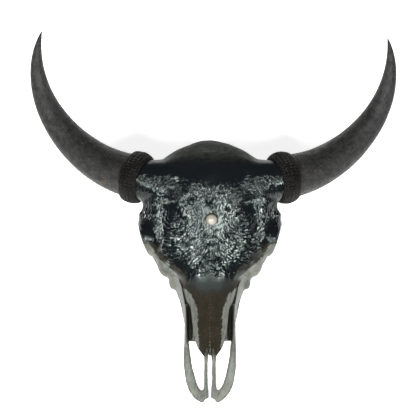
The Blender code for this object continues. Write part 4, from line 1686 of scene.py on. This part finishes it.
    def _refine_brow(self, cranium: bpy.types.Object) -> None:
        """Thins the faces away from the brow, and gives the brow finer faces and wrinkles."""
        weigh(cranium, "plain", 1 - self._brow_weight(cranium))
        thin = cranium.modifiers.new("Thin", "DECIMATE")
        thin.ratio = self.thin_ratio
        thin.vertex_group = "plain"
        thin.vertex_group_factor = 10
        settle(cranium)
        cranium.vertex_groups.clear()
        weight = self._brow_weight(cranium)
        mesh = bmesh.new()
        mesh.from_mesh(cranium.data)
        mesh.verts.ensure_lookup_table()
        edges = [e for e in mesh.edges if min(weight[v.index] for v in e.verts) > 0.5]
        bmesh.ops.subdivide_edges(mesh, edges=edges, cuts=1, use_grid_fill=True)
        bmesh.ops.triangulate(mesh, faces=[f for f in mesh.faces if len(f.verts) > 3])
        mesh.to_mesh(cranium.data)
        mesh.free()
        cranium.data.update()
        x, y, z = places_of(cranium).T
        wide, long = self.wrinkle_size
        points = np.stack([strand_lie(x, y) / wide, x / long, y / long], axis=1)
        wrinkles = ridges_at(points) - 0.5
        broad = noise_at(np.stack([x, y, z], axis=1) * 0.06 + 3)
        lift = (wrinkles * 1.1 + broad * 1.2) * self.brow_wrinkle
        move_out(cranium, lift * self._brow_weight(cranium))

    def _brow_weight(self, cranium: bpy.types.Object) -> np.ndarray:
        """Returns 1 on the wrinkled part of the brow and 0 elsewhere, for each vertex."""
        x, y, z = places_of(cranium).T
        up = normals_of(cranium)[:, 2]
        weight = ease(up, 0.25, 0.5) * ease(y, -112, -84)
        weight = weight * (1 - ease(brow_height(x, y), 46, 86))
        weight *= 1 - ease(np.abs(x), 126, 140)
        weight *= ease(z, 118, 130)
        weight *= ease(np.hypot(x - 3, y - 6), 15, 21)
        return weight * (1 - (y < -50) * (1 - ease(np.abs(x), 44, 54)))


@dataclass
class CheekTeeth:
    """The six cheek teeth of one side, with worn crowns, standing on the floor."""

    word: str
    side: int
    sizes: tuple[Row, ...] = (  # length along the jaw, width across it, from front to back
        (16, 15),
        (17.5, 18),
        (18, 20),
        (25, 23),
        (28, 25),
        (29, 24),
    )
    premolars: int = 3
    front_y: float = -168
    top: float = 36
    space: float = 0.8
    slimness: float = 0.6
    waist: float = 0.17
    fold: float = 0.045
    jaw_line: tuple[Row, ...] = ((-170, 40), (-120, 52), (-70, 58), (-15, 54))
    points: int = 72

    def build(self, material: bpy.types.Material) -> bpy.types.Object:
        """Builds the row.

        Args:
            material: its finish.

        Returns:
            The finished piece.
        """
        mesh = bmesh.new()
        y = self.front_y
        line_y, line_x = zip(*self.jaw_line)
        for i, (length, width) in enumerate(self.sizes):
            middle = y + length / 2
            x = self.side * float(np.interp(middle, line_y, line_x))
            lobes = 1 if i < self.premolars else 2
            spot = Vector((x, middle))
            self._add_tooth(mesh, spot, length - self.space, width - self.slimness, lobes)
            y += length
        obj = new_object("teeth_" + self.word, mesh)
        keep_field(obj, "root", ease(places_of(obj)[:, 2], 6, 22))
        return finish_piece(obj, material, ["maxilla_" + self.word])

    def _add_tooth(
        self, mesh: bmesh.types.BMesh, middle: Vector, length: float, width: float, lobes: int
    ) -> None:
        """Adds one tooth, from its root down its wall, over its rim and into its pits.

        Args:
            mesh: the mesh to add to.
            middle: the middle of its crown.
            length: along the jaw.
            width: across it.
            lobes: 1 for a premolar, 2 for a molar.
        """
        levels = (  # height over the floor, and the share of the crown's size
            (self.top, 0.80),
            (self.top * 0.6, 0.93),
            (14, 0.985),
            (5, 1.0),
            (1.0, 0.985),
            (0.25, 0.955),
            (0.0, 0.91),
            (0.15, 0.87),
            (1.2, 0.80),
            (1.5, 0.62),
            (0.5, 0.55),
            (0.4, 0.48),
            (2.6, 0.36),
            (4.2, 0.14),
        )
        rings = []
        for z, scale in levels:
            ring = []
            for angle in turns(self.points):
                across, along = rounded(angle, 3.2)
                waist = 1 - self.waist * math.exp(-((along / 0.26) ** 2)) if lobes == 2 else 1
                outer = max(0.0, across * self.side)
                fold = 1 + self.fold * outer * math.cos(along * math.pi * (2 * lobes))
                wall = scale
                if scale <= 0.7:
                    wall = scale * (1 - 0.25 * math.cos(along * math.pi * lobes))
                x = middle.x + across * width / 2 * waist * fold * wall
                ring.append((x, middle.y + along * length / 2 * scale, z))
            rings.append(ring)
        add_loft(mesh, rings)


@dataclass(frozen=True)
class ToothFinish:
    """Ivory enamel, brown in its folds and greyer towards the root."""

    enamel: Row = (0.40, 0.36, 0.27, 1)
    brown: Row = (0.10, 0.065, 0.035, 1)
    root: Row = (0.22, 0.20, 0.16, 1)
    relief: float = 0.0006

    def make(self, name: str) -> bpy.types.Material:
        """Builds the material, which reads the field root."""
        material, bench, shader = new_material(name)
        where = bench.place(1 / MM)
        cloud = bench.cloud(bench.scaled(where, (0.35, 0.35, 0.07)), 1.0, 5.0, 0.65)
        tone = bench.mix(bench.ramp(cloud, 0.45, 0.64), self.enamel, self.brown)
        tone = bench.mix(bench.field("root"), tone, self.root)
        bench.dress(shader, tone, bench.ramp(cloud, 0.3, 0.7, 0.30, 0.52), cloud, self.relief)
        return material


@dataclass
class Pearl:
    """The pearl on the brow, in its low bronze setting."""

    at: Row = (3, 6)
    probe: float = 10  # how far apart the brow's slope is felt round it
    radius: float = 11
    sink: float = 0.42  # the share of its radius from its middle down to its flat foot
    ball_rings: int = 40
    setting_radius: float = 12.2
    setting_height: float = 3.2
    plate: float = 1.0
    spot: Vector | None = None
    normal: Vector | None = None

    def settle_in(self, bone: bpy.types.Object) -> None:
        """Finds the pearl's place on the brow and cuts its seat.

        Args:
            bone: the skull before it is parted.
        """
        low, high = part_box("setting")
        plan = plan_to_row().inverted()
        tree = BVHTree.FromObject(bone, bpy.context.evaluated_depsgraph_get())
        x, y = self.at
        reach = self.probe
        spots = [(x, y), (x + reach, y), (x - reach, y), (x, y + reach), (x, y - reach)]
        down = Vector((0, 0, -1))
        hits = [tree.ray_cast(Vector((px, py, HIGH)) * MM, down)[0] for px, py in spots]
        self.normal = (hits[1] - hits[2]).cross(hits[3] - hits[4]).normalized()
        middle = plan @ ((low + high) / 2) / MM
        self.spot = middle - self.normal * self.setting_height / 2
        mesh = bmesh.new()
        top = self.spot + self.normal * 40
        add_rod(mesh, self.spot - self.normal * GAP, top, self.setting_radius + GAP)
        cut_with(bone, new_object("pearl_seat", mesh))

    def build(
        self, pearl: bpy.types.Material, bronze: bpy.types.Material
    ) -> list[bpy.types.Object]:
        """Builds the pearl and its setting.

        Args:
            pearl: the pearl's finish.
            bronze: the setting's finish.

        Returns:
            The two pieces.
        """
        lip = self.setting_height
        wide = self.setting_radius
        cup = self.radius + GAP
        cradle = (
            (wide - 0.3, 0),
            (wide, 0.3),
            (wide, lip - 1.0),
            (wide - 0.15, lip - 0.45),
            (wide - 0.45, lip - 0.12),
            (wide - 0.7, lip),
            (cup, lip - 0.1),
            (cup - 0.05, self.plate + 1.2),
            (cup - 1.4, self.plate),
            (0.4, self.plate),
        )
        setting = self._turned("pearl_setting", cradle, self.spot, 96)
        base = self.spot + self.normal * (self.plate + GAP)
        low = self.radius * self.sink
        profile = []
        for i in range(self.ball_rings):
            height = -low + (self.radius + low) * math.sin(math.pi / 2 * i / self.ball_rings)
            profile.append((math.sqrt(self.radius**2 - height**2), height + low))
        profile.append((self.radius * 0.03, self.radius + low))
        ball = self._turned("pearl_ball", profile, base, 80)
        finish_piece(setting, bronze, ["setting"])
        finish_piece(ball, pearl, ["pearl"])
        return [setting, ball]

    def _turned(
        self, name: str, profile: Sequence[Row], foot: Vector, steps: int
    ) -> bpy.types.Object:
        """A closed turned piece, whose profile is radius and height over its foot."""
        across = self.normal.orthogonal().normalized()
        side = self.normal.cross(across)
        rings = []
        for r, h in profile:
            ring = []
            for angle in turns(steps):
                radial = (across * math.cos(angle) + side * math.sin(angle)) * r
                ring.append(foot + self.normal * h + radial)
            rings.append(ring)
        mesh = bmesh.new()
        add_loft(mesh, rings)
        return new_object(name, mesh)


@dataclass
class Studio:
    """The floor, the lights and the camera."""

    elevation: float = 72.0
    lens: float = 85.0
    sensor: float = 36.0
    view_width: float = 0.832  # metres across the picture at the pearl
    picture: int = 416
    pearl_pixel: Row = (210.0, 219.3)
    pearl_spot: Row = (0.0, 4.5, 190.0)
    floor_size: float = 8.0
    floor_drop: float = 0.0005  # below the skull's feet
    floor_tone: Row = (0.92, 0.92, 0.91, 1)
    floor_glow: float = 0.8
    room_tone: Row = (0.95, 0.97, 1.0, 1)
    room_light: float = 0.11  # how strongly the room lights the skull
    room_seen: float = 0.8  # how bright it looks to the camera
    aim: Row = (0, 0.0, 0.15)
    boxes: tuple[tuple[str, Row, Row, float], ...] = (  # name, place, width and height, watts
        ("face_box", (-0.06, -0.86, 1.6), (0.30, 0.24), 8),
        ("left_box", (-0.75, -0.76, 1.5), (0.62, 0.18), 32),
        ("right_box", (0.75, -0.76, 1.5), (0.62, 0.18), 26),
    )

    def build(self) -> None:
        """Builds the whole studio."""
        self._floor()
        self._lights()
        self._camera()

    def _floor(self) -> None:
        """A plain pale floor."""
        mesh = bmesh.new()
        bmesh.ops.create_grid(mesh, x_segments=1, y_segments=1, size=self.floor_size / 2)
        floor = new_object("floor", mesh)
        floor.data.transform(Matrix.Translation((0, 0, -self.floor_drop)))
        material, bench, shader = new_material("studio_floor")
        values = {
            "Base Color": self.floor_tone,
            "Roughness": 0.9,
            "Emission Color": (1, 1, 1, 1),
            "Emission Strength": self.floor_glow,
        }
        bench.wire(shader, values)
        floor.data.materials.append(material)

    def _light(self, name: str, place: Row, size: Row, power: float) -> None:
        """Adds one soft box, turned to the skull."""
        data = bpy.data.lights.new(name, "AREA")
        data.shape = "RECTANGLE"
        data.size, data.size_y = size
        data.energy = power
        light = bpy.data.objects.new(name, data)
        light.location = place
        light.rotation_mode = "QUATERNION"
        aim = Vector(self.aim) - Vector(place)
        light.rotation_quaternion = aim.to_track_quat("-Z", "Y")
        bpy.context.scene.collection.objects.link(light)

    def _lights(self) -> None:
        """A small soft box over the face, a strip on each side, and a room that looks pale."""
        for name, place, size, power in self.boxes:
            self._light(name, place, size, power)
        world = bpy.data.worlds.new("studio")
        world.use_nodes = True
        bench = Bench(world.node_tree)
        seen = bench.add("ShaderNodeLightPath").outputs["Is Camera Ray"]
        strength = bench.ramp(seen, 0, 1, self.room_light, self.room_seen)
        background = world.node_tree.nodes["Background"]
        bench.wire(background, {"Color": self.room_tone, "Strength": strength})
        bpy.context.scene.world = world
        bpy.context.scene.view_settings.view_transform = "Standard"

    def _camera(self) -> None:
        """The camera, at the angle and distance at which the photograph shows the skull."""
        angle = math.radians(self.elevation)
        back = Vector((0, -math.cos(angle), math.sin(angle)))
        up = Vector((0, math.sin(angle), math.cos(angle)))
        scale = self.view_width / self.picture
        spot = plan_to_row() @ (Vector(self.pearl_spot) * MM)
        off_x = (self.picture / 2 - self.pearl_pixel[0]) * scale
        off_up = (self.pearl_pixel[1] - self.picture / 2) * scale
        centre = spot + Vector((1, 0, 0)) * off_x + up * off_up
        data = bpy.data.cameras.new("camera")
        data.lens = self.lens
        data.sensor_width = self.sensor
        camera = bpy.data.objects.new("camera", data)
        camera.location = centre + back * (self.view_width * self.lens / self.sensor)
        camera.rotation_mode = "QUATERNION"
        camera.rotation_quaternion = (-back).to_track_quat("-Z", "Y")
        bpy.context.scene.collection.objects.link(camera)
        bpy.context.scene.camera = camera


def main() -> None:
    """Builds the skull and its studio."""
    logging.basicConfig(level=logging.INFO, format="%(name)s: %(message)s")
    skull_finish = SkullFinish(strand_group(), bone_group())
    lacquered = skull_finish.make("lacquered_bone")
    bare = skull_finish.make("bare_bone")
    horn_finish = HornFinish().make("horn")
    cord = CordFinish().make("cord")
    plans = {word: HornPlan(side, HORN_ROLLS[word]) for word, side in SIDES}
    collars = {word: Collar(word, plans[word]) for word, _ in SIDES}
    nasals = NasalBones()
    pearl = Pearl()
    SkullBone(plans, collars, nasals).build(pearl, lacquered, bare)
    nose_finish = SkullFinish(skull_finish.strands, skull_finish.dry_bone, gloss=0.36)
    nasals.build(nose_finish.make("lacquered_nose"))
    pearl.build(PearlFinish().make("pearl"), BronzeFinish().make("bronze"))
    teeth_finish = ToothFinish().make("enamel")
    for word, side in SIDES:
        Horn(word, plans[word]).build(horn_finish)
        collars[word].build(cord)
        CheekTeeth(word, side).build(teeth_finish)
    Studio().build()


if __name__ == "__main__":
    main()
